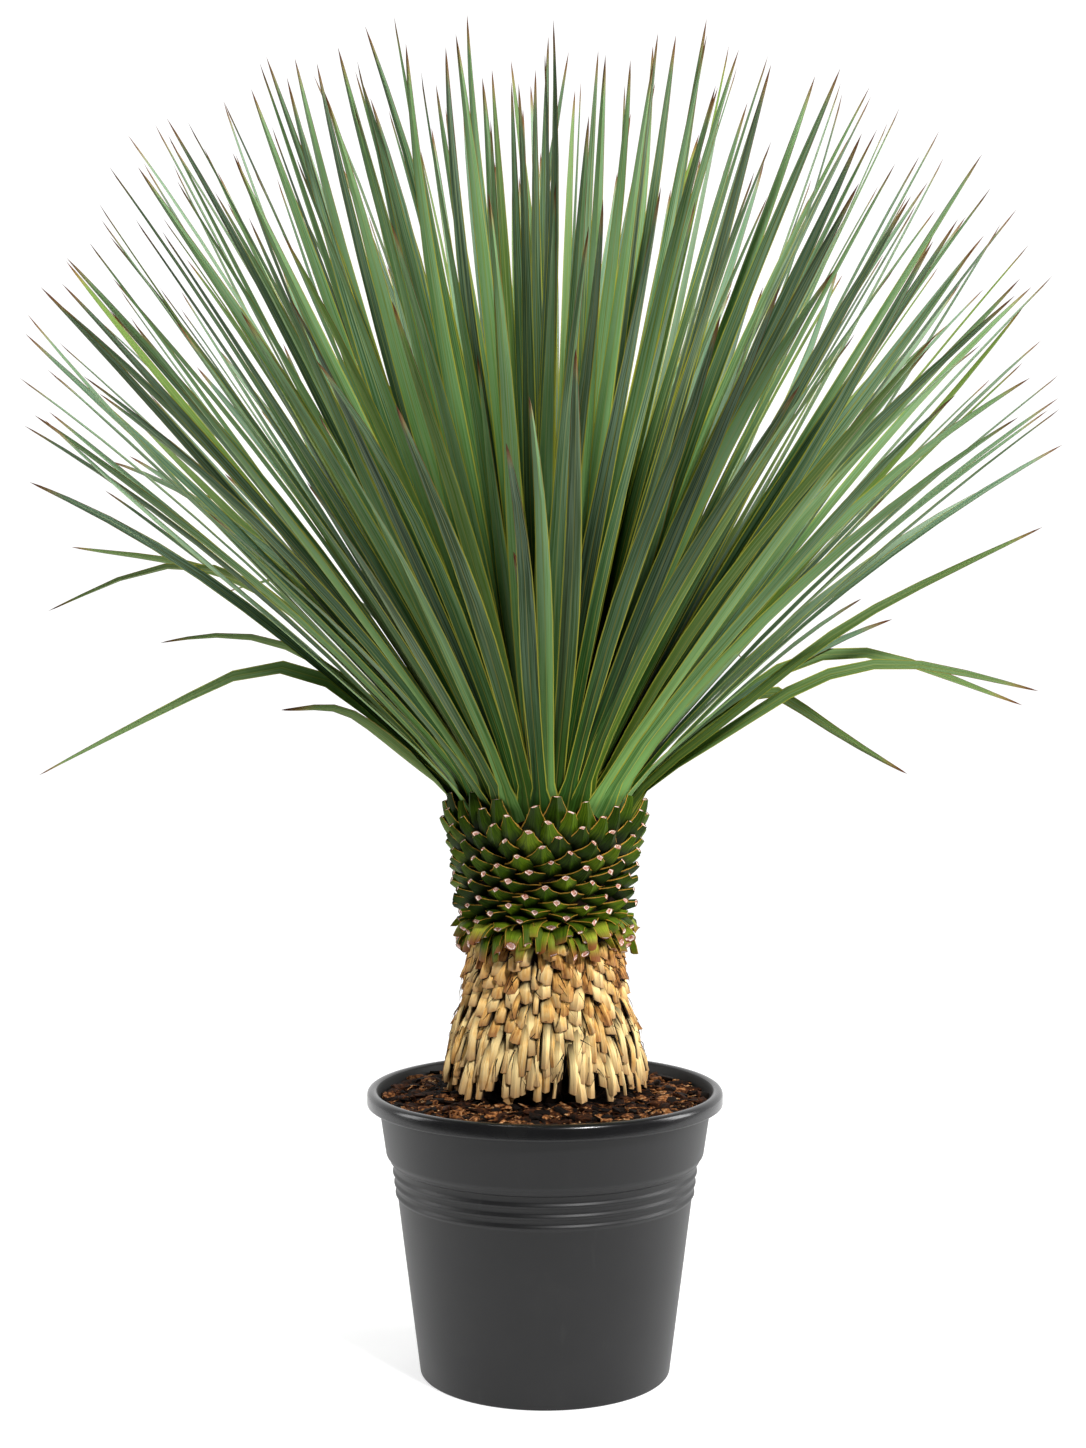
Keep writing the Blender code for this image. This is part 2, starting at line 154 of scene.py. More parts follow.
# Name, place, size across and up in metres, watts
LAMPS = (
    ("left_softbox", (-2.1, 0.1, 0.9), (0.7, 1.5), 22.0),
    ("right_softbox", (2.1, 0.1, 0.9), (0.7, 1.5), 37.0),
    ("top_softbox", (-0.4, -0.3, 2.6), (0.8, 0.6), 42.0),
    ("key_softbox", (1.15, -2.05, 2.1), (0.36, 0.36), 88.0),
)

world = bpy.data.worlds.new("studio")
bpy.context.scene.world = world
world.use_nodes = True
sky = world.node_tree
ahead = add(sky, "SeparateXYZ", {0: add(sky, "TexCoord").outputs["Generated"]}).outputs["Y"]
strength = add(sky, "MapRange", {"Value": ahead, "From Min": WHITENING[0], "From Max": WHITENING[1],
                                 "To Min": GREY_IN_FRONT, "To Max": WHITE_BEHIND})
feed(sky, sky.nodes["Background"], {"Color": (1, 1, 1, 1), "Strength": strength})

for name, place, (across, up), watts in LAMPS:
    lamp = bpy.data.lights.new(name, "AREA")
    lamp.shape = "RECTANGLE"
    lamp.size, lamp.size_y = across, up
    lamp.energy = watts
    held = put_into_scene(name, lamp)
    held.location = place
    held.rotation_euler = (LAMPS_AIM - Vector(place)).to_track_quat("-Z", "Y").to_euler()

paint, paint_tree = new_finish("white_sweep")
set_shader(paint_tree, colour("#bcbcbc"), 0.9, 0.5,
           more={"Emission Color": colour("#ffffff"), "Emission Strength": FLOOR_GLOW})

disc = bmesh.new()
bmesh.ops.create_circle(disc, cap_ends=True, segments=96, radius=FLOOR_RADIUS,
                        matrix=Matrix.Translation(FLOOR_MIDDLE))
floor = put_into_scene("floor", mesh_from(disc, "floor"))
floor.data.materials.append(paint)
print(len(LAMPS), "lamps over a white floor")

# %% [markdown]
# ## How each piece is finished off
#
# Every piece is shaped in a bmesh. When it is done it becomes an object at the origin, shaded smooth but for
# its real edges. It rides on the one body and stands for a solid of the frame, which is hidden.

# %% Finishing a piece
SHARP_ANGLE = math.radians(40)


def finish_piece(bm, name, finish, stands_for):
    """Makes a bmesh a piece of the plant and hides the solid of the frame that it stands for."""
    mesh = mesh_from(bm, name)
    mesh.shade_smooth()
    mesh.set_sharp_from_angle(angle=SHARP_ANGLE)
    mesh.materials.append(finish)
    piece = put_into_scene(name, mesh)
    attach(piece, "root")
    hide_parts(stands_for)
    mesh.calc_loop_triangles()
    print(name, len(mesh.loop_triangles), "triangles")


# %% [markdown]
# ## The pot
#
# A nursery pot is moulded in black polypropylene. Its wall is a turned shape, so it is drawn as half an
# outline and spun. The outline is a few corners: bevelling each corner by its own amount gives the soft
# lip, step, ribs and foot, which is how a mould maker would fillet them too. The drain holes come last.

# %% The pot's outline
POT_HEIGHT = 0.240
LIP_RADIUS = 0.1520
LIP_DEPTH = 0.0130
LIP_WIDTH = 0.0090
LIP_EDGE = 0.0030
LIP_HOLLOW = 0.0040
LIP_DRAFT = 0.0004
BAND_RADIUS = 0.1418
BAND_FOOT = (0.1352, 0.1850)
STEP_RADIUS = 0.1293
STEP_HEIGHT = 0.1780
FOOT_RADIUS = 0.1062
WALL = 0.0024
RECESS_HEIGHT = 0.004
RECESS_SLOPE = 0.003
BASE_DISC_RADIUS = 0.060
FOOT_RING_WIDTH = 0.012
RIB_HEIGHTS = (0.1700, 0.1610, 0.1522)
# How far each corner of a rib is above its middle, how far it stands out and its rounding
RIB_CORNERS = ((0.0028, 0.0, 0.0008), (0.0, 0.0020, 0.0013), (-0.0028, 0.0, 0.0008))
POT_STEPS = 160
ROUNDING_STEPS = 4
MERGE_DISTANCE = 1e-6


def wall_radius(height):
    """The radius of the pot's tapering lower wall at a height."""
    return FOOT_RADIUS + (STEP_RADIUS - FOOT_RADIUS) * height / STEP_HEIGHT


def pot_outline():
    """(radius, height, rounding) corners, from the middle of the floor up inside, over the lip and down."""
    lip_foot = POT_HEIGHT - LIP_DEPTH
    floor_top = RECESS_HEIGHT + WALL
    corners = [
        (0.0, WALL, 0.0),
        (BASE_DISC_RADIUS, WALL, 0.001),
        (BASE_DISC_RADIUS + RECESS_SLOPE, floor_top, 0.001),
        (wall_radius(floor_top) - WALL, floor_top, 0.002),
        (STEP_RADIUS - WALL, STEP_HEIGHT, 0.002),
        (BAND_FOOT[0] - WALL, BAND_FOOT[1] + WALL, 0.002),
        (BAND_RADIUS - WALL, lip_foot, 0.002),
        (LIP_RADIUS - LIP_WIDTH, POT_HEIGHT - LIP_DRAFT, 0.0032),
        (LIP_RADIUS - LIP_DRAFT, POT_HEIGHT, 0.0044),
        (LIP_RADIUS - LIP_DRAFT, lip_foot, 0.0014),
        (LIP_RADIUS - LIP_EDGE, lip_foot, 0.0008),
        (LIP_RADIUS - LIP_EDGE - LIP_DRAFT, lip_foot + LIP_HOLLOW, 0.0012),
        (BAND_RADIUS + LIP_DRAFT, lip_foot + LIP_HOLLOW, 0.0014),
        (*BAND_FOOT, 0.0018),
        (BAND_FOOT[0] - 0.0030, BAND_FOOT[1] - 0.0036, 0.0012),
        (BAND_FOOT[0] - 0.0033, BAND_FOOT[1] - 0.0056, 0.0010),
        (STEP_RADIUS, STEP_HEIGHT, 0.0012),
    ]
    for middle in RIB_HEIGHTS:
        for rise, reach, rounding in RIB_CORNERS:
            corners.append((wall_radius(middle + rise) + reach, middle + rise, rounding))
    corners += [
        (wall_radius(0.0), 0.0, 0.0016),
        (FOOT_RADIUS - FOOT_RING_WIDTH, 0.0, 0.0010),
        (FOOT_RADIUS - FOOT_RING_WIDTH - RECESS_SLOPE, RECESS_HEIGHT, 0.0010),
        (BASE_DISC_RADIUS + RECESS_SLOPE, RECESS_HEIGHT, 0.0010),
        (BASE_DISC_RADIUS, 0.0, 0.0010),
        (0.0, 0.0, 0.0),
    ]
    return corners


def turn_outline(corners, steps):
    """A solid turned about the Z axis from an outline, each of whose corners has a rounding of its own."""
    bm = bmesh.new()
    points = [bm.verts.new((radius, 0.0, height)) for radius, height, _ in corners]
    for pair in zip(points, points[1:]):
        bm.edges.new(pair)
    for size in sorted({rounding for _, _, rounding in corners if rounding}):
        chosen = [point for point, corner in zip(points, corners) if corner[2] == size]
        bmesh.ops.bevel(bm, geom=chosen, offset=size, affect="VERTICES", segments=ROUNDING_STEPS,
                        profile=0.5, material=-1)
    bmesh.ops.spin(bm, geom=[*bm.verts, *bm.edges], axis=(0, 0, 1), cent=(0, 0, 0), angle=math.tau,
                   steps=steps, use_merge=True)
    bmesh.ops.remove_doubles(bm, verts=bm.verts, dist=MERGE_DISTANCE)
    bmesh.ops.recalc_face_normals(bm, faces=bm.faces)
    return bm


# %% [markdown]
# ### Moulded polypropylene
#
# The mould's wall is spark eroded, so the plastic comes out charcoal with a fine satin grain, and only the
# rolled lip is glossy. Carbon black gives a nearly neutral colour. Dust from the potting bench lies on it in
# faint patches, and handling leaves a few paler rubs.

# %% Charcoal polypropylene
GRAIN_PITCH = 0.0011     # the real grain is about 0.2 mm; drawn five times as coarse so that it shows
PATCH_SIZE = 0.060
RUBS_A_METRE = (60, 60, 9)
# Height above which the pot's inside is painted near-black, as painted shade
INSIDE_SHOWS_ABOVE = 0.2272
LIP_GLOSS_HEIGHTS = (0.2260, 0.2290)
WALL_ROUGHNESS = 0.42
LIP_ROUGHNESS = 0.17


def polypropylene():
    made, tree = new_finish("moulded_polypropylene")
    spot = add(tree, "TexCoord").outputs["Object"]
    parts = add(tree, "SeparateXYZ", {0: spot}).outputs
    patches = add(tree, "TexNoise", {"Vector": spot, "Scale": 1 / PATCH_SIZE, "Detail": 6.0,
                                     "Roughness": 0.6})
    skin = add(tree, "ValToRGB", {"Fac": patches}, ((0.30, "#131314"), (0.55, "#171718"), (0.75, "#1d1d1d")))
    stretched = add(tree, "Mapping", {"Vector": spot, "Scale": RUBS_A_METRE})
    rubs = add(tree, "TexNoise", {"Vector": stretched, "Scale": 1.0, "Detail": 3.0})
    rubbed = add(tree, "MapRange", {"Value": rubs, "From Min": 0.68, "From Max": 0.80, "To Max": 0.35})
    skin = add(tree, "Mix", {0: rubbed, 6: skin, 7: colour("#333332")}, data_type="RGBA")
    level = add(tree, "CombineXYZ", {"X": parts["X"], "Y": parts["Y"]})
    radius = add(tree, "VectorMath", {0: level}, operation="LENGTH")
    # Painted shade: the inside of the wall above the mix is painted near-black, and it is made rougher.
    bore = LIP_RADIUS - LIP_WIDTH
    within = add(tree, "MapRange", {"Value": radius, "From Min": bore + 0.0012, "From Max": bore + 0.0002})
    above = add(tree, "MapRange", {"Value": parts["Z"], "From Min": INSIDE_SHOWS_ABOVE,
                                   "From Max": INSIDE_SHOWS_ABOVE + 0.0010})
    inside = add(tree, "Math", {0: within, 1: above}, operation="MULTIPLY")
    skin = add(tree, "Mix", {0: inside, 6: skin, 7: colour("#0a0a0b")}, data_type="RGBA")
    low, high = LIP_GLOSS_HEIGHTS
    rough = add(tree, "MapRange", {"Value": parts["Z"], "From Min": low, "From Max": high,
                                   "To Min": WALL_ROUGHNESS, "To Max": LIP_ROUGHNESS})
    for part, weight in ((inside, 0.40), (patches, 0.10)):
        rough = add(tree, "Math", {0: part, 1: weight, 2: rough}, operation="MULTIPLY_ADD")
    pits = add(tree, "TexNoise", {"Vector": spot, "Scale": 1 / GRAIN_PITCH})
    set_shader(tree, skin, rough, 0.38, (pits, 0.10, 0.0004))
    return made


# %% The pot, with its drain holes
DRAIN_HOLES = 8
DRAIN_RADIUS = 0.007
DRAIN_CIRCLE_RADIUS = 0.078
DRAIN_STEPS = 28


def cut_drain_holes(bm):
    """Cuts a ring of round holes through the pot's floor and gives back the cut shape."""
    pins = bmesh.new()
    for number in range(DRAIN_HOLES):
        turn = Matrix.Rotation(math.tau * (number + 0.5) / DRAIN_HOLES, 4, "Z")
        place = Matrix.Translation((DRAIN_CIRCLE_RADIUS, 0.0, RECESS_HEIGHT + WALL / 2))
        bmesh.ops.create_cone(pins, cap_ends=True, segments=DRAIN_STEPS, radius1=DRAIN_RADIUS,
                              radius2=DRAIN_RADIUS, depth=6 * WALL, matrix=turn @ place)
    solid, cutter = [put_into_scene(name, mesh_from(shape, name))
                     for name, shape in (("uncut_pot", bm), ("drain_pins", pins))]
    holes = solid.modifiers.new("holes", "BOOLEAN")
    holes.operation = "DIFFERENCE"
    holes.object = cutter
    graph = bpy.context.evaluated_depsgraph_get()
    result = bmesh.new()
    result.from_mesh(solid.evaluated_get(graph).to_mesh())
    bpy.data.objects.remove(solid)
    bpy.data.objects.remove(cutter)
    return result


finish_piece(cut_drain_holes(turn_outline(pot_outline(), POT_STEPS)), "pot_shell", polypropylene(),
             "pot")

# %% [markdown]
# ## Blanks, and how they are grown
#
# A leaf, a cut leaf base and a straw strip are all a flat rod with a root and a tip. So one function makes a
# blank rod, with few faces because it is copied hundreds of times. Its UV map runs round it and along it, for
# veins and margins. Another function copies the blank into a piece and sends each of its corners where it
# should be. Each copy also carries a tone, which its material reads so that no two look quite alike.

# %% A blank rod
AT_TIP = 0.99


def blank_rod(name, corners, stations, pointed=False, rim=0.0):
    """A closed rod: x runs across it from -1 to 1, y through it (+1 is its upper side), z along it, 0 to 1.

    The UV map runs round it from the left edge (0) over the upper side to the right edge (1) and back (2).
    A rim leaves two inset faces at the tip, one in the other, marked as the cut and as its heart.
    """
    bm = bmesh.new()
    bmesh.ops.create_cone(bm, cap_ends=True, segments=corners, radius1=1.0, radius2=0.0 if pointed else 1.0,
                          depth=1.0, matrix=Matrix.Translation((0, 0, 0.5)))
    for share in stations:
        everything = [*bm.verts, *bm.edges, *bm.faces]
        bmesh.ops.bisect_plane(bm, geom=everything, plane_co=(0, 0, share), plane_no=(0, 0, 1))
    for vert in bm.verts:
        if pointed and 0.0 < vert.co.z < AT_TIP:
            vert.co.xy /= 1.0 - vert.co.z
    around = bm.loops.layers.uv.new("around_along")
    for face in bm.faces:
        places = {}
        for loop in face.loops:
            x, y, _ = loop.vert.co
            if math.hypot(x, y) > 1e-5:
                places[loop] = round(math.atan2(y, -x) / math.tau * corners) % corners
        if {0, corners - 1} <= set(places.values()) and len(face.loops) <= 4:
            places = {loop: place or corners for loop, place in places.items()}
        middle = sum(places.values()) / len(places)
        for loop in face.loops:
            loop[around].uv = (2 * places.get(loop, middle) / corners, loop.vert.co.z)
    cut = bm.verts.layers.float.new("cut")
    for layer in ("tone", "age", "tip_distance", "inside"):
        bm.verts.layers.float.new(layer)
    heart = bm.verts.layers.float.new("heart")
    if rim:
        cap = max(bm.faces, key=lambda face: face.calc_center_median().z)
        for layer in (cut, heart):
            bmesh.ops.inset_individual(bm, faces=[cap], thickness=rim)
            for vert in cap.verts:
                vert[cut] = 1.0
                vert[layer] = 1.0
    print(name, "has", len(bm.faces), "faces")
    return mesh_from(bm, name)


def grow(bm, blank, place, **marks):
    """Copies a blank into bm, sends each of its corners where place says and writes the marks on them."""
    first = len(bm.verts)
    bm.from_mesh(blank)
    bm.verts.ensure_lookup_table()
    layers = [(bm.verts.layers.float[name], mark) for name, mark in marks.items()]
    for vert in bm.verts[first:]:
        spot = vert.co.copy()
        vert.co = place(*spot)
        for layer, mark in layers:
            vert[layer] = mark(spot) if callable(mark) else mark


def rod_place(tree):
    """Where a spot is round its rod (0 to 2) and along it (0 to 1), and how far from its nearer edge."""
    grid = add(tree, "SeparateXYZ", {0: add(tree, "UVMap", uv_map="around_along")}).outputs
    return grid["X"], grid["Y"], add(tree, "Math", {0: grid["X"], 1: 0.5}, operation="PINGPONG")


def streaks(tree, place, repeats, detail, roughness=0.5):
    """Noise drawn out along a rod, for veins and fibres, with its repeats round, along and between tones."""
    line = {axis: add(tree, "Math", {0: spot, 1: count}, operation="MULTIPLY")
            for axis, spot, count in zip("XYZ", place, repeats)}
    return add(tree, "TexNoise", {"Vector": add(tree, "CombineXYZ", line), "Scale": 1.0, "Detail": detail,
                                  "Roughness": roughness})


# %% Directions, tables and bowed paths
GOLDEN_ANGLE = math.radians(137.508)


def outward(azimuth, elevation=0.0):
    """The unit direction at an angle round the trunk and an angle above the horizontal."""
    level = math.cos(elevation)
    return Vector((level * math.cos(azimuth), level * math.sin(azimuth), math.sin(elevation)))


def at(azimuth, radius, height):
    """The point at an angle round the trunk, a radius and a height."""
    point = outward(azimuth) * radius
    point.z = height
    return point


def read_off(table, place):
    """The values beside a place in a table of (place, value, ...) rows, joined by straight lines."""
    if place <= table[0][0]:
        return table[0][1:]
    for low, high in zip(table, table[1:]):
        if place <= high[0]:
            share = (place - low[0]) / (high[0] - low[0])
            return tuple(a + (b - a) * share for a, b in zip(low[1:], high[1:]))
    return table[-1][1:]


def smooth_step(value):
    """0 below 0, 1 above 1 and an S-shaped rise between them."""
    value = min(max(value, 0.0), 1.0)
    return value * value * (3 - 2 * value)


def bowed(root, control, tip, share):
    """The point and the direction at a share of a path that leaves root towards control and ends at tip."""
    point = root * (1 - share) ** 2 + control * 2 * share * (1 - share) + tip * share ** 2
    along = (control - root) * (1 - share) + (tip - control) * share
    return point, along.normalized()


# %% [markdown]
# ## The potting mix
#
# The pot is filled with peat and composted bark. It is damp, almost black between the lumps and red-brown on
# the fibres. A turned bed with a noisy top gives the mass of it, and crumbs and bark fibres lie on the bed,
# because their broken outline along the lip is what makes it read as soil and not as brown paint.

# %% Damp peat and bark fibre
LUMP_SIZE = 0.006
FLECK_SIZE = 0.003


def peat():
    made, tree = new_finish("damp_peat")
    spot = add(tree, "TexCoord").outputs["Object"]
    lumps = add(tree, "TexNoise", {"Vector": spot, "Scale": 1 / LUMP_SIZE, "Detail": 8.0, "Roughness": 0.7})
    tint = add(tree, "ValToRGB", {"Fac": lumps},
               ((0.42, "#040201"), (0.54, "#140a05"), (0.64, "#482a17"), (0.76, "#9a6e48")))
    set_shader(tree, tint, 0.92, 0.12, (lumps, 0.9, 0.002))
    return made


def bark_fibre():
    made, tree = new_finish("composted_bark")
    tone = add(tree, "Attribute", attribute_name="tone").outputs["Fac"]
    spot = add(tree, "TexCoord").outputs["Object"]
    flecks = add(tree, "TexNoise", {"Vector": spot, "Scale": 1 / FLECK_SIZE, "Detail": 4.0})
    shade = 0.0
    for weight in (0.35, tone):
        shade = add(tree, "Math", {0: flecks, 1: weight, 2: shade}, operation="MULTIPLY_ADD")
    tint = add(tree, "ValToRGB", {"Fac": shade},
               ((0.20, "#0d0603"), (0.42, "#45240f"), (0.62, "#a0683a"), (0.86, "#e4c294")))
    set_shader(tree, tint, 0.85, 0.15, (flecks, 0.6, 0.001))
    return made


# %% The bed of potting mix
SOIL_WALL_HEIGHT = 0.2285
SOIL_TRUNK_HEIGHT = 0.2390
SOIL_HOLE_RADIUS = 0.0648
SOIL_RINGS = 46
SOIL_STEPS = 200
SOIL_GAP = 0.0004
SOIL_HOLE_FLOOR = 0.200
# How wide the lumps of the mix are, and how high
SOIL_LUMPS = ((0.016, 0.0020), (0.006, 0.0016), (0.0028, 0.0008))


def soil_height(radius):
    """The mean height of the mix at a distance from the axis: it heaps up gently to the trunk."""
    inner, outer = SOIL_HOLE_RADIUS, BAND_RADIUS - WALL
    share = min(max((outer - radius) / (outer - inner), 0.0), 1.0)
    return SOIL_WALL_HEIGHT + (SOIL_TRUNK_HEIGHT - SOIL_WALL_HEIGHT) * share


def soil_surface(x, y):
    """The height of the mix's lumpy top at a place."""
    spot = Vector((x, y, 0.0))
    return soil_height(math.hypot(x, y)) + sum(noise.noise(spot / wide) * high for wide, high in SOIL_LUMPS)


def make_soil_bed():
    floor = RECESS_HEIGHT + WALL
    # Radius of the pot's inside, how far the mix keeps in from it, and height
    sides = (
        (BASE_DISC_RADIUS, 0.0005, WALL + SOIL_GAP),
        (BASE_DISC_RADIUS + RECESS_SLOPE, 0.0004, floor + SOIL_GAP),
        (wall_radius(floor) - WALL, 0.0026, floor + SOIL_GAP),
        (STEP_RADIUS - WALL, 0.0010, STEP_HEIGHT),
        (BAND_FOOT[0] - WALL, 0.0012, BAND_FOOT[1] + WALL),
        (BAND_RADIUS - WALL, 0.0006, SOIL_WALL_HEIGHT - 0.0010),
    )
    outline = [(0.0, WALL + SOIL_GAP, 0.0)]
    outline += [(radius - gap, height, 0.0) for radius, gap, height in sides]
    rim = outline[-1][0]
    for ring in range(1, SOIL_RINGS + 1):
        radius = rim + (SOIL_HOLE_RADIUS - rim) * ring / SOIL_RINGS
        outline.append((radius, soil_height(radius), 0.0))
    outline += [(SOIL_HOLE_RADIUS, SOIL_HOLE_FLOOR, 0.0), (0.0, SOIL_HOLE_FLOOR, 0.0)]
    bm = turn_outline(outline, SOIL_STEPS)
    for vert in bm.verts:
        reach = math.hypot(vert.co.x, vert.co.y)
        if vert.co.z > SOIL_WALL_HEIGHT - 0.0004 and reach > SOIL_HOLE_RADIUS + 0.0005:
            vert.co.z = soil_surface(vert.co.x, vert.co.y)
    finish_piece(bm, "soil_bed", peat(), "soil")


make_soil_bed()

# %% Crumbs and fibres on the bed
CRUMB_SEED = 31
CRUMBS = 2600
CRUMB_SIZES = (0.0012, 0.0072)
# How crooked a crumb is, and its length, width and height for its size
CRUMB_BUMPS = (0.72, 1.18)
CRUMB_FORM = ((0.9, 1.9), (0.7, 1.1), (0.30, 0.65))
CRUMB_TILT = 0.6
# Tilt in radians, bend and arch as shares of a fibre's length
FIBRE_SEED = 37
FIBRES = 1300
FIBRE_LENGTHS = (0.006, 0.026)
FIBRE_WIDTHS = (0.0005, 0.0019)
FIBRE_LIFTS = (0.0002, 0.0022)
FIBRE_TILT = 0.18
FIBRE_BEND = 0.22
FIBRE_ARCH = 0.08
FIBRE_TAPER = 0.6
SOIL_REACH = (0.0780, 0.1358)


def soil_spot(draw):
    """A random place on the mix between the trunk and the pot's wall, spread evenly over the area."""
    inner, outer = SOIL_REACH
    reach = math.sqrt(draw.uniform(inner * inner, outer * outer))
    spot = at(draw.uniform(0, math.tau), reach, 0.0)
    spot.z = soil_surface(spot.x, spot.y)
    return spot


def blank_crumb():
    """A lump of twenty faces, a little crooked."""
    draw = random.Random(CRUMB_SEED)
    bm = bmesh.new()
    bmesh.ops.create_icosphere(bm, subdivisions=1, radius=1.0)
    for vert in bm.verts:
        vert.co *= draw.uniform(*CRUMB_BUMPS)
    bm.verts.layers.float.new("tone")
    return mesh_from(bm, "blank_crumb")


def make_crumbs(finish):
    draw = random.Random(CRUMB_SEED)
    blank = blank_crumb()
    bm = bmesh.new()
    for _ in range(CRUMBS):
        low, high = CRUMB_SIZES
        size = low + (high - low) * draw.random() ** 2.4
        spot = soil_spot(draw) + Vector((0, 0, size * draw.uniform(-0.1, 0.5)))
        heading = Matrix.Rotation(draw.uniform(0, math.tau), 3, "Z")
        tilt = Matrix.Rotation(draw.uniform(-CRUMB_TILT, CRUMB_TILT), 3, "X")
        scale = [size * draw.uniform(*limits) for limits in CRUMB_FORM]
        stretch = heading @ tilt @ Matrix.Diagonal(scale)
        grow(bm, blank, lambda x, y, z: spot + stretch @ Vector((x, y, z)), tone=draw.random() ** 2.2 * 0.80)
    finish_piece(bm, "soil_crumbs", finish, "soil")


def make_fibres(finish):
    draw = random.Random(FIBRE_SEED)
    blank = blank_rod("blank_fibre", 4, (0.3, 0.6, 0.85))
    bm = bmesh.new()
    up = Vector((0, 0, 1))
    for _ in range(FIBRES):
        low, high = FIBRE_LENGTHS
        length = low + (high - low) * draw.random() ** 2
        spot = soil_spot(draw)
        heading = draw.uniform(0, math.tau)
        along = outward(heading, draw.gauss(0.0, FIBRE_TILT)) * length
        side = outward(heading + math.pi / 2) * length
        root = spot - along / 2 + up * draw.uniform(*FIBRE_LIFTS)
        tip = root + along
        for end in (root, tip):
            reach = math.hypot(end.x, end.y)
            if reach > SOIL_REACH[1]:
                end.xy *= SOIL_REACH[1] / reach
        control = (root + tip) / 2 + side * draw.uniform(-FIBRE_BEND, FIBRE_BEND) + up * length * FIBRE_ARCH
        width = draw.uniform(*FIBRE_WIDTHS)

        def place(x, y, z):
            point, ahead = bowed(root, control, tip, z)
            across = ahead.cross(up).normalized()
            slim = width * (1.0 - FIBRE_TAPER * z)
            return point + across * x * slim + ahead.cross(across) * y * slim / 2

        grow(bm, blank, place, tone=draw.random())
    finish_piece(bm, "bark_fibres", finish, "soil")


bark = bark_fibre()
make_crumbs(bark)
make_fibres(bark)

# %% [markdown]
# ## The dry trunk
#
# Below the green, the trunk wears the stubs of leaves that were cut off years ago. Each is a curled strip of
# straw that comes out of the woody core, lies over the strips below it and ends in a square cut. The lowest
# are long and spring outwards like a skirt, and a few loose ribs arch out of it. They follow the same spiral
# as the leaves, which is what gives the trunk its slanting rows. Thin shreds of old sheath stand off between
# them. The strips are painted dark at their edges, roots and undersides, as painted shade. The core behind
# them is painted nearly black, as painted shade for the deep shade there.

# %% Dry leaf base
# Repeats round a strip's upper side and along it, and how far apart two tones read the noise. Real fibres are
# 0.3 mm apart. They are drawn about 1.2 mm apart so that they show.
STRAW_FIBRES = (9.0, 1.6, 57.0)
BLOT_SIZE = 0.007
CORE_FIBRES_A_METRE = (260, 260, 60)     # real ones are finer, but none that fine would show in the shade


def dry_leaf_base():
    made, tree = new_finish("dry_leaf_base")
    tone, age, cut, heart = [add(tree, "Attribute", attribute_name=name).outputs["Fac"]
                             for name in ("tone", "age", "cut", "heart")]
    around, along, from_edge = rod_place(tree)
    fibres = streaks(tree, (around, along, tone), STRAW_FIBRES, 4.0, 0.65)
    spot = add(tree, "TexCoord").outputs["Object"]
    blots = add(tree, "TexNoise", {"Vector": spot, "Scale": 1 / BLOT_SIZE, "Detail": 4.0})
    shade = 0.0
    for part, weight in ((fibres, 0.62), (tone, 0.36), (blots, 0.34)):
        shade = add(tree, "Math", {0: part, 1: weight, 2: shade}, operation="MULTIPLY_ADD")
    skin = add(tree, "ValToRGB", {"Fac": shade},
               ((0.40, "#43260d"), (0.50, "#b67b3a"), (0.63, "#eebb6a"), (0.80, "#ffe2a0")))
    green = add(tree, "ValToRGB", {"Fac": shade}, ((0.35, "#5d6a1c"), (0.75, "#a9b04a")))
    upper_part = add(tree, "MapRange", {"Value": along, "From Min": 0.85, "From Max": 0.55})
    still_green = add(tree, "Math", {0: age, 1: upper_part}, operation="MULTIPLY")
    worn = add(tree, "Math", {0: fibres, 1: 0.20, 2: along}, operation="MULTIPLY_ADD")
    brown_end = add(tree, "MapRange", {"Value": worn, "From Min": 0.78, "From Max": 1.12, "To Max": 0.85})
    # Painted shade: each strip is painted dark near its edges, towards its root where the strips above cover
    # it, and on its underside.
    at_edge = add(tree, "MapRange", {"Value": from_edge, "From Min": 0.25, "From Max": 0.08})
    at_root = add(tree, "MapRange", {"Value": along, "From Min": 0.62, "From Max": 0.32, "To Max": 0.9})
    painted_shade = add(tree, "Math", {0: around, 1: 1.0}, operation="GREATER_THAN")
    for place in (at_edge, at_root):
        painted_shade = add(tree, "Math", {0: painted_shade, 1: place}, operation="MAXIMUM")
    # The heart of each strip's hollowed cut end is painted near-black: painted shade in the hollow.
    layers = ((still_green, green), (brown_end, colour("#8a5e3c")), (cut, colour("#7c5432")),
              (heart, colour("#1c0f07")), (painted_shade, colour("#1e1007")))
    for share, over in layers:
        skin = add(tree, "Mix", {0: share, 6: skin, 7: over}, data_type="RGBA")
    set_shader(tree, skin, 0.78, 0.20, (fibres, 0.9, 0.0014), more={"IOR": 1.45})
    return made


def core_wood():
    """The fibrous core seen in the gaps, painted brown-black: painted shade, because hardly any light gets
    there.
    """
    made, tree = new_finish("fibrous_core")
    spot = add(tree, "TexCoord").outputs["Object"]
    stretched = add(tree, "Mapping", {"Vector": spot, "Scale": CORE_FIBRES_A_METRE})
    fibres = add(tree, "TexNoise", {"Vector": stretched, "Scale": 1.0, "Detail": 5.0})
    tint = add(tree, "ValToRGB", {"Fac": fibres}, ((0.35, "#070402"), (0.55, "#1a0f07"), (0.75, "#3a2412")))
    set_shader(tree, tint, 0.95, 0.10, (fibres, 0.8, 0.002))
    return made


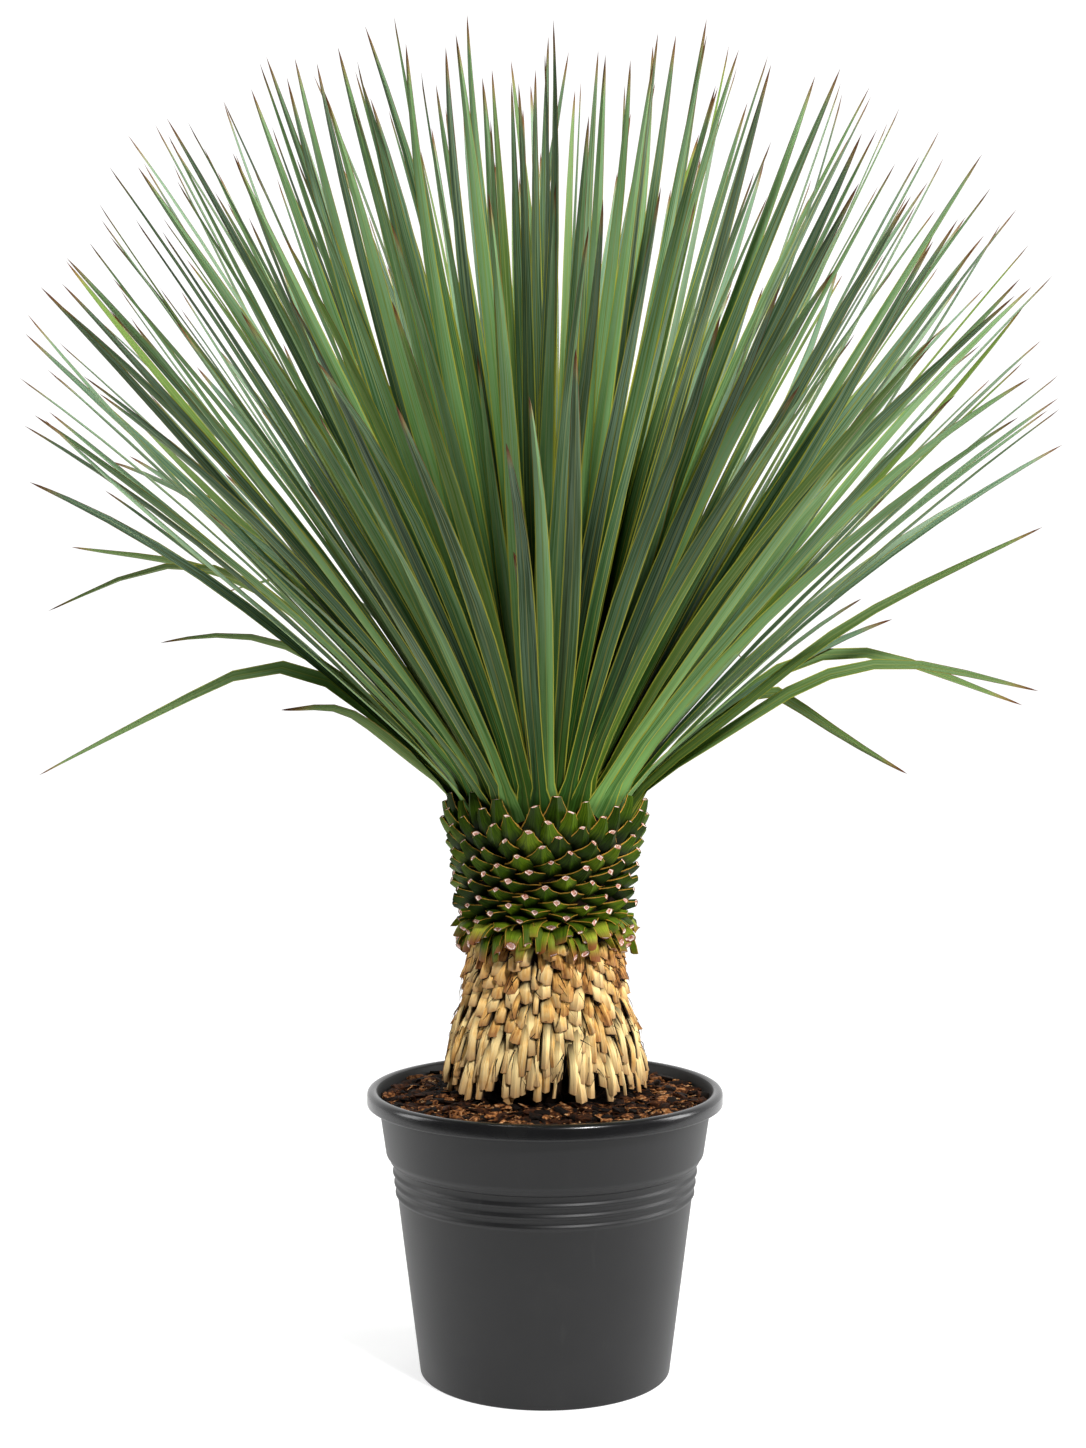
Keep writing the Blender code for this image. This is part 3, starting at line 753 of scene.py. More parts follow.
# %% The trunk's core
# Heights and radii, of the core and of the tips of the strips on it
DRY_TOP_HEIGHT = 0.3620
DRY_CORE = ((0.2380, 0.0640), (0.2500, 0.0745), (0.2650, 0.0735), (0.2940, 0.0692), (0.3090, 0.0640),
            (0.3350, 0.0630), (0.3550, 0.0600), (DRY_TOP_HEIGHT, 0.0595))
DRY_SKIN = ((0.2400, 0.0880), (0.2670, 0.0832), (0.2940, 0.0776), (0.3010, 0.0750), (0.3070, 0.0712),
            (0.3140, 0.0690), (0.3350, 0.0682), (0.3550, 0.0645), (0.3640, 0.0640))
CORE_FOOT = (0.2010, 0.0606)
CORE_STEPS = 96
core_finish = core_wood()


def make_core(name, table, skin, stands_for):
    """A turned core, a skin's thickness inside the radii of a table of (height, radius) rows."""
    sides = [(radius - skin, height, 0.0) for height, radius in table]
    outline = [(0.0, table[0][0], 0.0), *sides, (0.0, table[-1][0], 0.0)]
    finish_piece(turn_outline(outline, CORE_STEPS), name, core_finish, stands_for)


make_core("trunk_core", (CORE_FOOT, *DRY_CORE), 0.0006, "trunk_dry")

# %% The strips, from the skirt up
DRY_SEED = 11
STRIP_THICKNESS = 0.0015
STRIP_ROOT_DEPTH = 0.004
# Name, how many, tip heights, length, width, how far the middle springs out and how far down its path that
# is, how far the tips stand out, paleness
STRIP_GROUPS = (
    ("dry_strips", 215, (0.2880, 0.3620), 0.0250, 0.0126, 0.0016, (0.10, 0.30), (-0.0010, 0.0036), 0.0),
    ("dry_skirt", 190, (0.2400, 0.2820), 0.0470, 0.0076, 0.0060, (0.15, 0.40), (-0.0040, 0.0012), 0.30),
    ("dry_ribs", 60, (0.2440, 0.2740), 0.0500, 0.0084, 0.0120, (0.15, 0.35), (-0.0016, 0.0026), 0.40),
)
HIGHEST_STRIP_ROOT = 0.3720
GREEN_STRIPS_ABOVE = 0.338
PALE_STRIPS_BELOW = 0.355
COLOUR_CHANGE = 0.020
STRIP_LENGTH_SHARES = (0.86, 1.10)
STRIP_SPRING_SHARES = (0.4, 1.4)
STRIP_WIDTH_SHARES = (0.86, 1.14)
NARROW_STRIPS = 0.10
NARROW_WIDTH_SHARES = (0.40, 0.60)
STRIP_LEANS = (-0.11, 0.05)
STRIP_TWIST = 0.40
STRIP_CURLS = (38.0, 84.0)
STRIP_SLANT = 0.25
STRIP_FLARES = (0.92, 1.22)
SHRED_SEED = 53
SHREDS = 420
SHRED_HEIGHTS = (0.262, 0.372)
SHRED_FALLS = (0.006, 0.024)
SHRED_DRIFT = 0.16
SHRED_SPRINGS = (0.004, 0.011)
SHRED_TIP_SPRINGS = (-0.001, 0.0045)
SHRED_HALF_WIDTHS = (0.0003, 0.0007)


def dry_strip(bm, blank, draw, azimuth, tip_height, length, width, spring, hang, tip_spring, paleness):
    """One curled strip. It leaves the core, springs out, hangs over the strips below it and ends in a cut."""
    root_height = min(tip_height + length * draw.uniform(*STRIP_LENGTH_SHARES), HIGHEST_STRIP_ROOT)
    lean = draw.uniform(*STRIP_LEANS)
    root = at(azimuth, read_off(DRY_CORE, root_height)[0] - STRIP_ROOT_DEPTH, root_height)
    standing = read_off(DRY_SKIN, tip_height)[0] + draw.uniform(*tip_spring)
    tip = at(azimuth + lean, standing, tip_height)
    standing = read_off(DRY_SKIN, root_height)[0] + spring * draw.uniform(*STRIP_SPRING_SHARES)
    hung = root_height - (root_height - tip_height) * draw.uniform(*hang)
    control = at(azimuth + lean * 0.3, standing, hung)
    shares = NARROW_WIDTH_SHARES if draw.random() < NARROW_STRIPS else STRIP_WIDTH_SHARES
    half = width / 2 * draw.uniform(*shares)
    curl = math.radians(draw.uniform(*STRIP_CURLS))
    slant = draw.uniform(-STRIP_SLANT, STRIP_SLANT)
    twist = draw.uniform(-STRIP_TWIST, STRIP_TWIST)
    flare = draw.uniform(*STRIP_FLARES)

    def place(x, y, z):
        point, along = bowed(root, control, tip, z)
        side = Matrix.Rotation(twist * z, 3, along) @ outward(azimuth + math.pi / 2)
        side = (side - along * side.dot(along)).normalized()
        face = along.cross(side)
        reach = math.hypot(x, y)
        across = half * (STRIP_FLARES[0] + (flare - STRIP_FLARES[0]) * z)
        arc = across / math.sin(curl)
        sideways = arc * math.sin(x * curl)
        bend = arc * (1 - math.cos(x * curl))
        deep = STRIP_THICKNESS * (0.5 + 0.8 * z * z) * (1 - 0.30 * x * x)
        ragged = (slant * x - 0.45 * x * x) * across if z > AT_TIP else 0.0
        hollow = -0.0030 * (1.0 - reach) if z > AT_TIP else 0.0
        return point + side * sideways + face * (y * deep - bend) + along * (ragged + hollow)

    green = max(0.0, (tip_height - GREEN_STRIPS_ABOVE) / COLOUR_CHANGE) * draw.random()
    low = smooth_step((PALE_STRIPS_BELOW - tip_height) / (3 * COLOUR_CHANGE))
    pale = min(1.0, draw.random() * 0.75 + low * 0.12 + 0.04 + paleness)
    grow(bm, blank, place, tone=pale, age=min(green, 1.0))


def make_strips(finish):
    draw = random.Random(DRY_SEED)
    blank = blank_rod("blank_strip", 8, (0.22, 0.45, 0.66, 0.85), rim=0.3)
    for name, count, (low, high), *form in STRIP_GROUPS:
        bm = bmesh.new()
        for number in range(count):
            height = low + (high - low) * (number + 0.5) / count
            dry_strip(bm, blank, draw, -number * GOLDEN_ANGLE, height, *form)
        finish_piece(bm, name, finish, "trunk_dry")


def make_shreds(finish):
    """Thin threads of old sheath that stand off the trunk between the strips."""
    draw = random.Random(SHRED_SEED)
    blank = blank_rod("blank_shred", 4, (0.25, 0.5, 0.75), pointed=True)
    bm = bmesh.new()
    for _ in range(SHREDS):
        azimuth, height = draw.uniform(0, math.tau), draw.uniform(*SHRED_HEIGHTS)
        root = at(azimuth, read_off(DRY_SKIN, height)[0] - STRIP_ROOT_DEPTH, height)
        fall = draw.uniform(*SHRED_FALLS)
        tip_azimuth = azimuth + draw.uniform(-SHRED_DRIFT, SHRED_DRIFT)
        standing = read_off(DRY_SKIN, height - fall)[0] + draw.uniform(*SHRED_TIP_SPRINGS)
        tip = at(tip_azimuth, standing, height - fall)
        control = at(azimuth, root.xy.length + draw.uniform(*SHRED_SPRINGS), height + 0.001)
        half = draw.uniform(*SHRED_HALF_WIDTHS)

        def place(x, y, z):
            point, along = bowed(root, control, tip, z)
            across = along.cross(outward(azimuth)).normalized()
            return point + (across * x + along.cross(across) * y) * half * (1.0 - 0.7 * z)

        grow(bm, blank, place, tone=draw.random() * 0.5)
    finish_piece(bm, "dry_shreds", finish, "trunk_dry")


straw_finish = dry_leaf_base()
make_strips(straw_finish)
make_shreds(straw_finish)

# %% [markdown]
# ## The green collar
#
# Higher up the leaf bases are still alive. Each is a broad wedge that clasps the trunk and narrows quickly to
# the stub where the blade was cut: dark and waxy green, with an orange-brown edge and a pale, woody cut. The
# lowest ones are yellowing and droop over the straw. The highest stand up against the leaves.

# %% Green leaf base
# Real veins are about 0.5 mm apart. These are 0.3 mm apart at the cut and 2.5 mm where the base is widest.
SCALE_VEINS = (26.0, 1.4, 41.0)
PITH_SIZE = 0.0016       # real pith has fibres of 0.5 mm; drawn three times as coarse so that they show


def green_leaf_base():
    made, tree = new_finish("green_leaf_base")
    tone, age, cut, heart = [add(tree, "Attribute", attribute_name=name).outputs["Fac"]
                             for name in ("tone", "age", "cut", "heart")]
    around, along, from_edge = rod_place(tree)
    veins = streaks(tree, (around, along, tone), SCALE_VEINS, 3.0)
    shade = 0.0
    for part, weight in ((tone, 0.35), (veins, 0.55)):
        shade = add(tree, "Math", {0: part, 1: weight, 2: shade}, operation="MULTIPLY_ADD")
    skin = add(tree, "ValToRGB", {"Fac": shade}, ((0.20, "#111e01"), (0.45, "#2c4404"), (0.70, "#617c10")))
    yellowing = add(tree, "ValToRGB", {"Fac": shade},
                    ((0.20, "#30480a"), (0.45, "#6d8418"), (0.70, "#b9b63c")))
    # Painted shade: the lower part of each base, where it tucks under the ones above, is painted near-black.
    painted_base_shade = add(tree, "MapRange", {"Value": along, "From Min": 0.72, "From Max": 0.48, "To Max": 0.85})
    withered = add(tree, "Math", {0: age, 1: 0.30, 2: along}, operation="MULTIPLY_ADD")
    brown_end = add(tree, "MapRange", {"Value": withered, "From Min": 1.04, "From Max": 1.24})
    wavy = add(tree, "Math", {0: veins, 1: -0.05, 2: from_edge}, operation="MULTIPLY_ADD")
    at_edge = add(tree, "MapRange", {"Value": wavy, "From Min": 0.040, "From Max": 0.014, "To Max": 0.9})
    pith = add(tree, "TexNoise", {"Vector": add(tree, "TexCoord").outputs["Object"], "Scale": 1 / PITH_SIZE})
    wood = add(tree, "ValToRGB", {"Fac": pith}, ((0.34, "#7a2f22"), (0.43, "#e8bda6"), (0.55, "#fff6ee")))
    rind = add(tree, "MapRange", {"Value": cut, "From Min": 0.05, "From Max": 0.30})
    cut_face = add(tree, "MapRange", {"Value": cut, "From Min": 0.55, "From Max": 0.90})
    stained = add(tree, "Math", {0: heart, 1: 0.75}, operation="MULTIPLY")
    layers = ((age, yellowing), (painted_base_shade, colour("#070d02")), (brown_end, colour("#7e4c26")),
              (at_edge, colour("#c8943c")), (rind, colour("#6f3719")), (cut_face, wood),
              (stained, colour("#a4553a")))
    for share, over in layers:
        skin = add(tree, "Mix", {0: share, 6: skin, 7: over}, data_type="RGBA")
    set_shader(tree, skin, 0.46, 0.09, (veins, 0.45, 0.0008))
    return made


# %% The collar's core and its scales
GREEN_SEED = 23
GREEN_SCALES = 236
DROOPING_SCALES = 46
DROOPING_HEIGHTS = (0.3560, 0.3800)
GREEN_TOP_HEIGHT = 0.4825
GREEN_CORE = ((DRY_TOP_HEIGHT + 0.0004, 0.0600), (0.4000, 0.0640), (0.4400, 0.0670),
              (GREEN_TOP_HEIGHT, 0.0690))
GREEN_ROOT_DEPTH = 0.007
# The lowest scales are loose: they differ more in reach, lift in degrees, tilt of the cut and roll
LOOSE_BELOW = 0.386
LOOSE_DEPTH = 0.016
LOOSE_REACH = 0.0040
LOOSE_LIFTS = (-40.0, 34.0)
LOOSE_TILTS = (-0.0024, 0.0036)
LOOSE_ROLL = 4.0
YELLOW_SCALES_BELOW = 0.388
SCALE_REACHES = (-0.0030, 0.0012)
SCALE_DROP = 0.0025
SCALE_SLANT = 0.35
SCALE_ROLL = 0.20
SCALE_BASE_THICKNESS = 0.0150
SCALE_TIP_THICKNESS = 0.0058
# Height of the tip, how far it stands out, how far its root lies below it, its lift at the root in degrees,
# the width of its base, that of its tip and how hollow its sides are
GREEN_TIPS = (
    (0.3530, 0.0725, -0.0180, 34.0, 0.0150, 0.0074, 1.2),
    (0.3640, 0.0755, -0.0160, 30.0, 0.0165, 0.0074, 1.2),
    (0.3740, 0.0775, -0.0090, 16.0, 0.0280, 0.0074, 1.3),
    (0.3840, 0.0768, -0.0040, 8.0, 0.0500, 0.0074, 1.4),
    (0.3960, 0.0776, 0.0005, 0.0, 0.0640, 0.0064, 1.5),
    (0.4150, 0.0789, 0.0030, -5.0, 0.0660, 0.0062, 1.5),
    (0.4400, 0.0815, 0.0065, -4.0, 0.0660, 0.0060, 1.5),
    (0.4600, 0.0850, 0.0120, 0.0, 0.0640, 0.0060, 1.4),
    (0.4750, 0.0875, 0.0190, 6.0, 0.0620, 0.0062, 1.3),
    (0.4860, 0.0855, 0.0270, 12.0, 0.0580, 0.0064, 1.2),
    (0.4960, 0.0810, 0.0340, 18.0, 0.0520, 0.0068, 1.15),
)


def green_scale(bm, blank, draw, azimuth, height):
    """One cut leaf base, from inside the trunk out to its cut."""
    reach, drop, lift, base_width, tip_width, hollow = read_off(GREEN_TIPS, height)
    loose = smooth_step((LOOSE_BELOW - height) / LOOSE_DEPTH)
    reach += draw.uniform(*SCALE_REACHES) + draw.uniform(-LOOSE_REACH, LOOSE_REACH) * loose
    drop += draw.uniform(-SCALE_DROP, SCALE_DROP)
    lift += draw.uniform(*LOOSE_LIFTS) * loose
    tip = at(azimuth + draw.uniform(-0.03, 0.03), reach, height)
    root = at(azimuth, read_off(GREEN_CORE, height - drop)[0] - GREEN_ROOT_DEPTH, height - drop)
    bulge = 0.5 + 0.4 * loose * draw.random()
    control = root + outward(azimuth, math.radians(lift)) * (tip - root).length * bulge
    side = outward(azimuth + math.pi / 2)
    widest = base_width / 2 * draw.uniform(0.92, 1.06)
    narrowest = tip_width / 2 * draw.uniform(0.95, 1.45)
    tip_deep = SCALE_TIP_THICKNESS * draw.uniform(0.8, 1.2) * (1.0 - 0.30 * loose)
    slant = draw.uniform(-SCALE_SLANT, SCALE_SLANT)
    tilt = draw.uniform(*LOOSE_TILTS) * loose
    roll = draw.uniform(-SCALE_ROLL, SCALE_ROLL) * (1.0 + LOOSE_ROLL * loose)

    def place(x, y, z):
        point, along = bowed(root, control, tip, z)
        across = Matrix.Rotation(roll * z, 3, along) @ side
        over = along.cross(across)
        reach_in = math.hypot(x, y)
        unit = abs(x) / reach_in
        half = narrowest + (widest - narrowest) * (1 - z) ** hollow
        keel = (tip_deep * 0.62 + (SCALE_BASE_THICKNESS - tip_deep) * (1 - z)) * (1 - unit ** 1.5)
        top = tip_deep * 0.38 * (1 - unit ** 2) * z
        deep = (top if y > 0 else -keel) * reach_in
        wrap = (x * half) ** 2 / (2 * reach) * (1 - 0.6 * z)
        cut_back = -0.0022 * (1.0 - reach_in) if z > AT_TIP else 0.0
        lean = slant * x * half - tilt * y if z > AT_TIP else 0.0
        return point + across * x * half + over * deep - outward(azimuth) * wrap + along * (cut_back + lean)

    old = smooth_step((YELLOW_SCALES_BELOW - height) / COLOUR_CHANGE)
    age = old * draw.uniform(0.25, 1.0) + 0.10 * draw.random()
    grow(bm, blank, place, tone=draw.random(), age=min(age, 1.0))


def make_scales(finish):
    draw = random.Random(GREEN_SEED)
    blank = blank_rod("blank_scale", 8, (0.30, 0.55, 0.75, 0.90), rim=0.26)
    bm = bmesh.new()
    low, high = GREEN_TIPS[0][0], GREEN_TIPS[-1][0]
    for number in range(GREEN_SCALES):
        height = low + (high - low) * (number + 0.5) / GREEN_SCALES
        green_scale(bm, blank, draw, -number * GOLDEN_ANGLE + draw.uniform(-0.04, 0.04), height)
    for number in range(DROOPING_SCALES):
        height = draw.uniform(*DROOPING_HEIGHTS)
        green_scale(bm, blank, draw, math.tau * (number + draw.random()) / DROOPING_SCALES, height)
    finish_piece(bm, "green_scales", finish, "green_collar")


make_core("collar_core", GREEN_CORE, 0.0, "green_collar")
make_scales(green_leaf_base())

# %% [markdown]
# ## The head of leaves
#
# A yucca's blade is stiff and narrow, a little hollow above and keeled below, widest near its middle and
# drawn out to a sharp brown tip. It is waxy blue-green above and greener below, with a thin yellow margin.
# The leaves follow the spiral from the upright young ones in the middle to the oldest, which lean out and
# have begun to fold. The rule and its seed are the ones that the frame's solid was grown by, so each leaf
# leaves the crown where it does there. From there it leans on its neighbours, curves and twists a little,
# because real leaves gather in clumps with light between them.

# %% How each leaf grows
LEAF_SEED = 4
LEAF_COUNT = 362
CROWN_CENTRE_HEIGHT = 0.4175
CROWN_RADIUS = 0.1070
CROWN_RIM_HEIGHT = 0.4920
CROWN_FOOT_RADIUS = 0.0700
LEAF_ROOT_DISTANCE = 0.101
LEAN_LOWEST = 48.0
# (lean at the root in degrees, length of the leaf)
LEAF_LENGTHS = ((0.0, 0.597), (22.0, 0.604), (30.0, 0.594), (40.0, 0.540), (44.0, 0.495), (48.0, 0.450))
LEAF_WIDTH = 0.0142
LEAF_KEEL = 0.0020
LEAF_HOLLOW = 0.0008
SPINE_STEPS = 50
CLUMP_SIZE = 0.17
CLUMP_PULL = 0.080
# Where the clumps' noise is read for the pull along X, Y and Z, so that the three don't match
CLUMP_SHIFTS = (Vector((52.3, 20.0, -7.5)), Vector((43.0, 21.5, 0.5)), Vector((49.3, 21.7, -2.2)))
CLUMPED_LEAN = math.radians(32)
LEAN_SLACK = math.radians(1.0)
LEAF_CURVE = 6.0
# The lowest leaves leave the plant low and flat, over the collar's rim, and rise to their line in a few steps
LOW_LEAF_LEAN = math.radians(37)
LOW_LEAF_RANGE = math.radians(7)
BASE_STEPS = 6
# Old leaves that have folded over: azimuth, lean at the root, lean, arch, fold, where it starts, its span,
# length and roll. Angles are in degrees.
BENT_LEAVES = (
    (170, 44, 42, 10, 60, 0.40, 0.50, 0.47, 50),
    (167, 44, 50, 8, 62, 0.25, 0.35, 0.46, -56),
    (181, 42, 42, 23, 31, 0.40, 0.60, 0.31, 42),
    (183, 46, 51, 1, 36, 0.55, 0.35, 0.18, 38),
    (155, 45, 46, 10, 28, 0.30, 0.55, 0.50, 46),
    (-7, 45, 48, 3, 59, 0.30, 0.50, 0.38, 50),
    (-14, 44, 58, 1, 44, 0.35, 0.50, 0.37, 54),
    (8, 44, 51, 0, 73, 0.40, 0.20, 0.30, -56),
    (-20, 45, 53, 0, 14, 0.35, 0.40, 0.41, 44),
    (62, 45, 48, 6, 58, 0.40, 0.40, 0.45, 25),
    (98, 45, 50, 6, 66, 0.30, 0.45, 0.43, -28),
    (128, 45, 47, 9, 44, 0.40, 0.50, 0.48, 24),
)


def gathered(azimuth, lean):
    """The direction of a leaf once it leans on its neighbours. They gather in clumps with gaps between."""
    straight = outward(azimuth, math.pi / 2 - lean)
    pull = CLUMP_PULL * smooth_step(lean / CLUMPED_LEAN)
    drift = Vector([noise.noise(straight / CLUMP_SIZE + shift) for shift in CLUMP_SHIFTS])
    moved = (straight + drift * pull).normalized()
    return math.atan2(moved.y, moved.x), min(math.acos(moved.z), lean + LEAN_SLACK)


def leaf_facts():
    """How each leaf grows, the youngest first.

    Its angle round the plant and its lean from the vertical place its root. Lean, arch and fold shape it: it
    arches all along and folds from the share fold_at of its length.
    """
    draw = random.Random(LEAF_SEED)
    facts = []
    for number in range(LEAF_COUNT):
        share = (number + 0.5) / LEAF_COUNT
        lean = LEAN_LOWEST * share ** 0.52
        length = read_off(LEAF_LENGTHS, lean)[0]
        leaf = {
            "azimuth": math.degrees(number * GOLDEN_ANGLE) + draw.uniform(-0.7, 0.7),
            "root_lean": 0.97 * lean,
            "lean": lean - 3.0 * share ** 2 + draw.uniform(-1.2, 1.2),
            "arch": 1.5 + 15.0 * share ** 2 + draw.uniform(-1.5, 2.0),
            "sway": draw.uniform(-1.6, 1.6) * share,
            "fold": 0.0,
            "fold_at": 1.0,
            "fold_span": 1.0,
            "length": length * (1.02 - 0.10 * draw.random() ** 2),
            "width": LEAF_WIDTH * draw.uniform(0.86, 1.06),
            "roll": draw.uniform(-14.0, 14.0),
        }
        if draw.random() < 0.05:
            leaf["length"] *= draw.uniform(0.55, 0.85)
        facts.append(leaf)
    names = ("azimuth", "root_lean", "lean", "arch", "fold", "fold_at", "fold_span", "length", "roll")
    for place, values in enumerate(BENT_LEAVES):
        facts[LEAF_COUNT - 1 - 2 * place].update(zip(names, values))
    for leaf in facts:
        for name in ("azimuth", "root_lean", "lean", "arch", "sway", "fold", "roll"):
            leaf[name] = math.radians(leaf[name])
        leaf["root_azimuth"] = leaf["azimuth"]
        if not leaf["fold"]:
            leaf["azimuth"], leaf["lean"] = gathered(leaf["azimuth"], leaf["lean"])
    return facts


def leaf_spine(leaf):
    """Points from the leaf's root to its tip, and the (azimuth, lean) of the leaf at each of them."""
    point = Vector((0, 0, CROWN_CENTRE_HEIGHT)) + LEAF_ROOT_DISTANCE * outward(
        leaf["root_azimuth"], math.pi / 2 - leaf["root_lean"])
    points, turns = [point.copy()], []
    for step in range(SPINE_STEPS + 1):
        share = (step + 0.5) / SPINE_STEPS
        lean = leaf["lean"] + leaf["arch"] * share
        lean += leaf["fold"] * smooth_step((share - leaf["fold_at"]) / leaf["fold_span"])
        azimuth = leaf["azimuth"] + leaf["sway"] * share
        turns.append((azimuth, lean))
        if step < SPINE_STEPS:
            point = point + outward(azimuth, math.pi / 2 - lean) * leaf["length"] / SPINE_STEPS
            points.append(point)
    low = smooth_step((leaf["root_lean"] - LOW_LEAF_LEAN) / LOW_LEAF_RANGE)
    if low > 0.0:
        out = outward(leaf["root_azimuth"])
        root = points[0] - low * (out * 0.006 + Vector((0, 0, 0.017)))
        joint = points[BASE_STEPS]
        azimuth, lean = turns[BASE_STEPS]
        ahead = outward(azimuth, math.pi / 2 - lean) * leaf["length"] * BASE_STEPS / SPINE_STEPS
        control = joint - ahead * 0.55
        for step in range(BASE_STEPS):
            points[step], along = bowed(root, control, joint, step / BASE_STEPS)
            turns[step] = (leaf["azimuth"], math.acos(along.z))
    return points, turns


# %% Waxy leaf
# A leaf is read along by its distance from the tip, in metres. Real veins are about 0.5 mm apart. They are
# drawn about 1.1 mm apart so that they show.
LEAF_VEINS = (13.0, 9.0, 83.0)
LEAF_BANDS = (2.6, 3.0, 37.0)


def waxy_leaf():
    made, tree = new_finish("waxy_yucca_leaf")
    tone, age, left, inside = [add(tree, "Attribute", attribute_name=name).outputs["Fac"]
                               for name in ("tone", "age", "tip_distance", "inside")]
    around, _, from_edge = rod_place(tree)
    veins = streaks(tree, (around, left, tone), LEAF_VEINS, 1.5, 0.6)
    bands = streaks(tree, (around, left, tone), LEAF_BANDS, 1.0)
    shade = 0.0
    for part, weight in ((tone, 0.40), (veins, 0.40), (bands, 0.24)):
        shade = add(tree, "Math", {0: part, 1: weight, 2: shade}, operation="MULTIPLY_ADD")
    skin = add(tree, "ValToRGB", {"Fac": shade}, ((0.30, "#1b3820"), (0.50, "#4f7855"), (0.70, "#9ab497")))
    under = add(tree, "ValToRGB", {"Fac": shade}, ((0.30, "#0b1d03"), (0.50, "#2e591c"), (0.70, "#75a157")))
    below = add(tree, "Math", {0: around, 1: 1.0}, operation="GREATER_THAN")
    bloom = add(tree, "MapRange", {"Value": left, "From Min": 0.42, "From Max": 0.14, "To Max": 0.42})
    streaky = add(tree, "MapRange", {"Value": veins, "From Min": 0.38, "From Max": 0.62, "To Min": 0.35,
                                     "To Max": 1.50})
    waxed = add(tree, "Math", {0: bloom, 1: streaky}, operation="MULTIPLY")
    near_tip = add(tree, "MapRange", {"Value": left, "From Min": 0.16, "From Max": 0.05})
    margin = add(tree, "Mix", {0: near_tip, 6: colour("#aaa83a"), 7: colour("#6a3a1c")}, data_type="RGBA")
    at_edge = add(tree, "MapRange", {"Value": from_edge, "From Min": 0.078, "From Max": 0.048,
                                     "To Max": 0.90})
    midrib = add(tree, "MapRange", {"Value": from_edge, "From Min": 0.460, "From Max": 0.488,
                                    "To Max": 0.38})
    frayed = add(tree, "Math", {0: veins, 1: 0.030, 2: left}, operation="MULTIPLY_ADD")
    dry = add(tree, "MapRange", {"Value": frayed, "From Min": 0.045, "From Max": 0.022})
    tip = add(tree, "ValToRGB", {"Fac": dry}, ((0.0, "#b99a52"), (0.5, "#8f5c2e"), (1.0, "#5a3018")))
    # The inside mark is painted shade: deep in the head the leaves are painted near-black green.
    layers = ((below, under), (waxed, colour("#889e88")), (age, colour("#6f8a26")), (at_edge, margin),
              (midrib, colour("#a39a3c")), (dry, tip), (inside, colour("#0c1804")))
    for share, over in layers:
        skin = add(tree, "Mix", {0: share, 6: skin, 7: over}, data_type="RGBA")
    set_shader(tree, skin, 0.50, 0.07, (veins, 0.10, 0.0003))
    return made


# %% The blades
TONE_SEED = 71
LEAF_WANDER = 0.0045
LEAF_BOW = 0.020
# How far from its root a leaf deep in the head is painted with shade
SHELTERED_LENGTH = 0.34
LEAF_STATIONS = (0.02, 0.04, 0.06, 0.14, 0.24, 0.34, 0.44, 0.54, 0.64, 0.74, 0.84, 0.92, 0.96, 0.98)


def leaf_width(share):
    """How wide a leaf is, as a share of its widest, from its root (0) to its tip (1)."""
    clasp = 0.82 + 1.1 * (1.0 - smooth_step(share / 0.07)) + 0.18 * smooth_step((share - 0.06) / 0.34)
    return clasp * min(1.0, (1.0 - share) / 0.52) ** 0.60


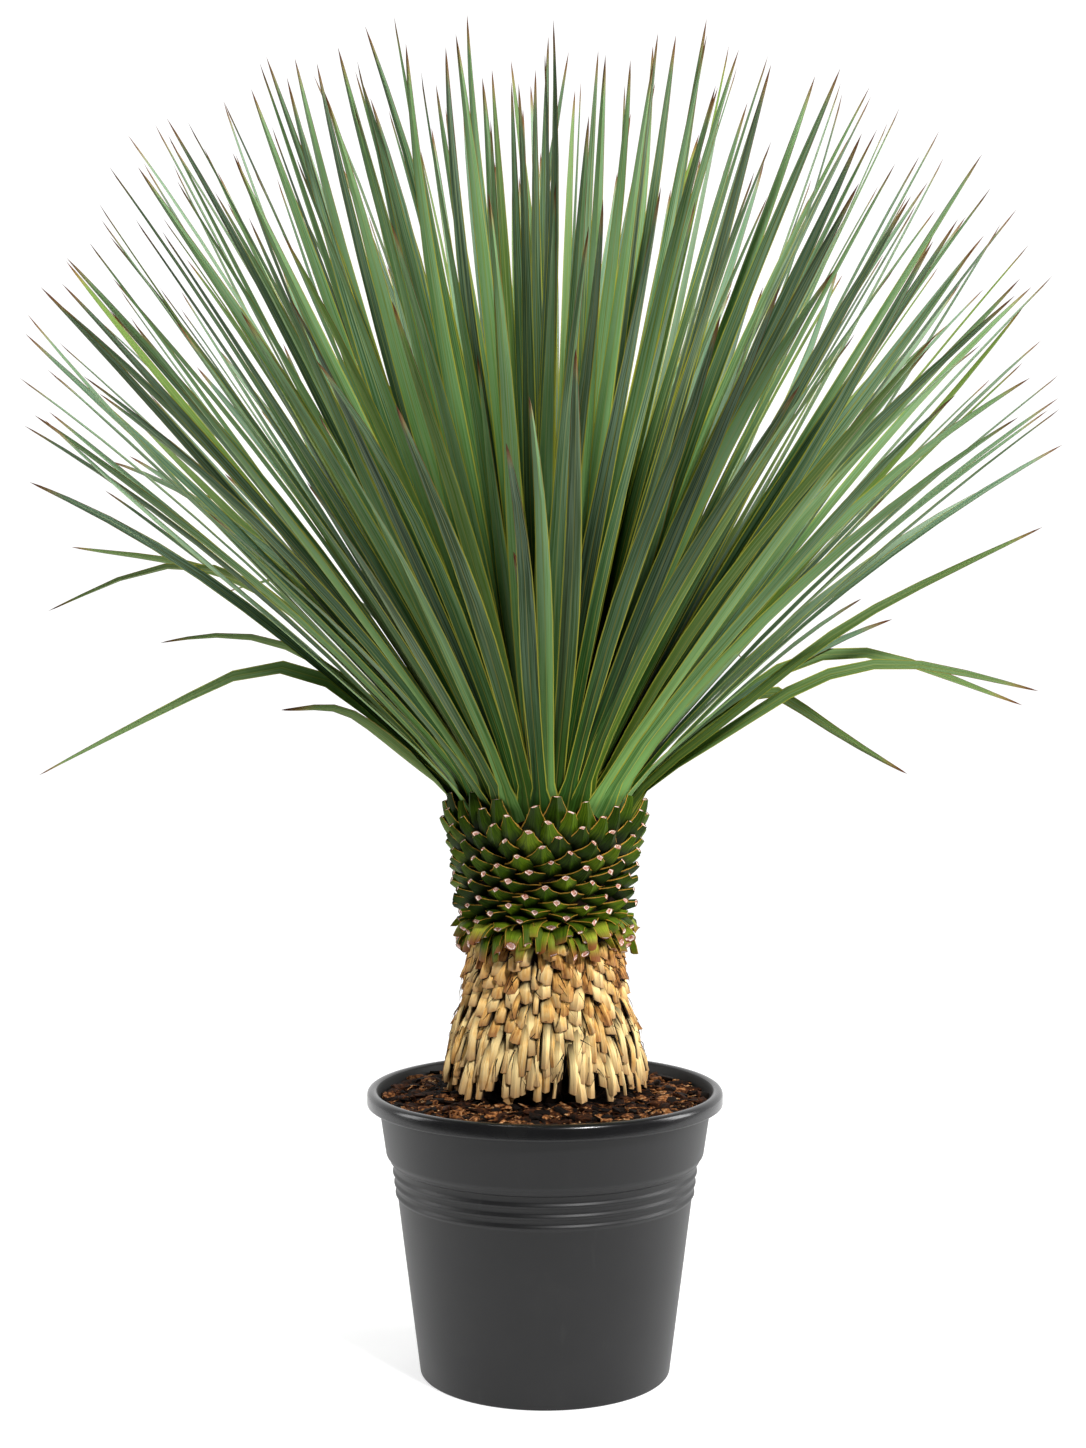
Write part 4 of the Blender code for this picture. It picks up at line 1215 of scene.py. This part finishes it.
def blade(bm, blank, draw, leaf, age):
    """One leaf along its spine. It twists towards its tip and never runs quite straight."""
    points, turns = leaf_spine(leaf)
    twist = math.radians(draw.uniform(-70.0, 70.0)) * (0.3 if leaf["fold"] else 1.0)
    waves, phase = draw.uniform(3.0, 7.0), draw.uniform(0.0, math.tau)
    bow = draw.gauss(0.0, 0.5) * LEAF_BOW
    sheltered = smooth_step((math.radians(43) - leaf["root_lean"]) / math.radians(14))

    def place(x, y, z):
        step = round(z * SPINE_STEPS)
        azimuth, lean = turns[step]
        along = outward(azimuth, math.pi / 2 - lean)
        side = Matrix.Rotation(leaf["roll"] + twist * z ** 1.4, 3, along) @ outward(azimuth - math.pi / 2)
        under = along.cross(side)
        wander = LEAF_WANDER * z * math.sin(waves * z + phase) + bow * z * z
        if z > AT_TIP:
            return points[-1] + side * wander
        width = leaf_width(z)
        hollow = LEAF_HOLLOW * width
        keel = LEAF_KEEL * (0.35 + 0.65 * width)
        deep = hollow if y > 0.5 else keel if y < -0.5 else 0.0
        return points[step] + side * (x * leaf["width"] / 2 * width + wander) + under * deep

    # Painted shade: how dark the lower part of a leaf deep in the head is painted.
    def painted_deep_shade(spot):
        return 0.80 * sheltered * smooth_step((SHELTERED_LENGTH - leaf["length"] * spot.z) / 0.24)

    grow(bm, blank, place, tone=draw.random() * (0.45 if leaf["fold"] else 1.0), age=age,
         tip_distance=lambda spot: leaf["length"] * (1.0 - spot.z), inside=painted_deep_shade)


def make_leaves(finish):
    draw = random.Random(TONE_SEED)
    blank = blank_rod("blank_leaf", 4, LEAF_STATIONS, pointed=True)
    bm = bmesh.new()
    for leaf in leaf_facts():
        limed = draw.uniform(0.3, 0.8) if draw.random() < 0.11 else draw.uniform(0.0, 0.12)
        if leaf["fold"]:
            limed = 0.45
        curve = math.radians(draw.gauss(0.0, LEAF_CURVE)) * (not leaf["fold"])
        leaf["lean"] -= curve / 2
        leaf["arch"] += curve
        blade(bm, blank, draw, leaf, limed)
    finish_piece(bm, "leaves", finish, "leaf_head")


def make_crown():
    """The dome that the leaves grow from, drawn in at its foot. It wears the core's painted shade, and only
    its dark gaps show.
    """
    bm = bmesh.new()
    bmesh.ops.create_uvsphere(bm, u_segments=48, v_segments=24, radius=CROWN_RADIUS - 0.002,
                              matrix=Matrix.Translation((0, 0, CROWN_CENTRE_HEIGHT)))
    everything = [*bm.verts, *bm.edges, *bm.faces]
    cut = bmesh.ops.bisect_plane(bm, geom=everything, plane_co=(0, 0, CROWN_RIM_HEIGHT), plane_no=(0, 0, 1),
                                 clear_inner=True)
    rim = [part for part in cut["geom_cut"] if isinstance(part, bmesh.types.BMEdge)]
    grown = bmesh.ops.extrude_edge_only(bm, edges=rim)["geom"]
    for vert in [part for part in grown if isinstance(part, bmesh.types.BMVert)]:
        vert.co.xy *= CROWN_FOOT_RADIUS / vert.co.xy.length
        vert.co.z = GREEN_TOP_HEIGHT + 0.0004
    bmesh.ops.holes_fill(bm, edges=[part for part in grown if isinstance(part, bmesh.types.BMEdge)])
    bmesh.ops.recalc_face_normals(bm, faces=bm.faces)
    finish_piece(bm, "crown", core_finish, "leaf_head")


leaf_finish = waxy_leaf()
make_leaves(leaf_finish)
make_crown()
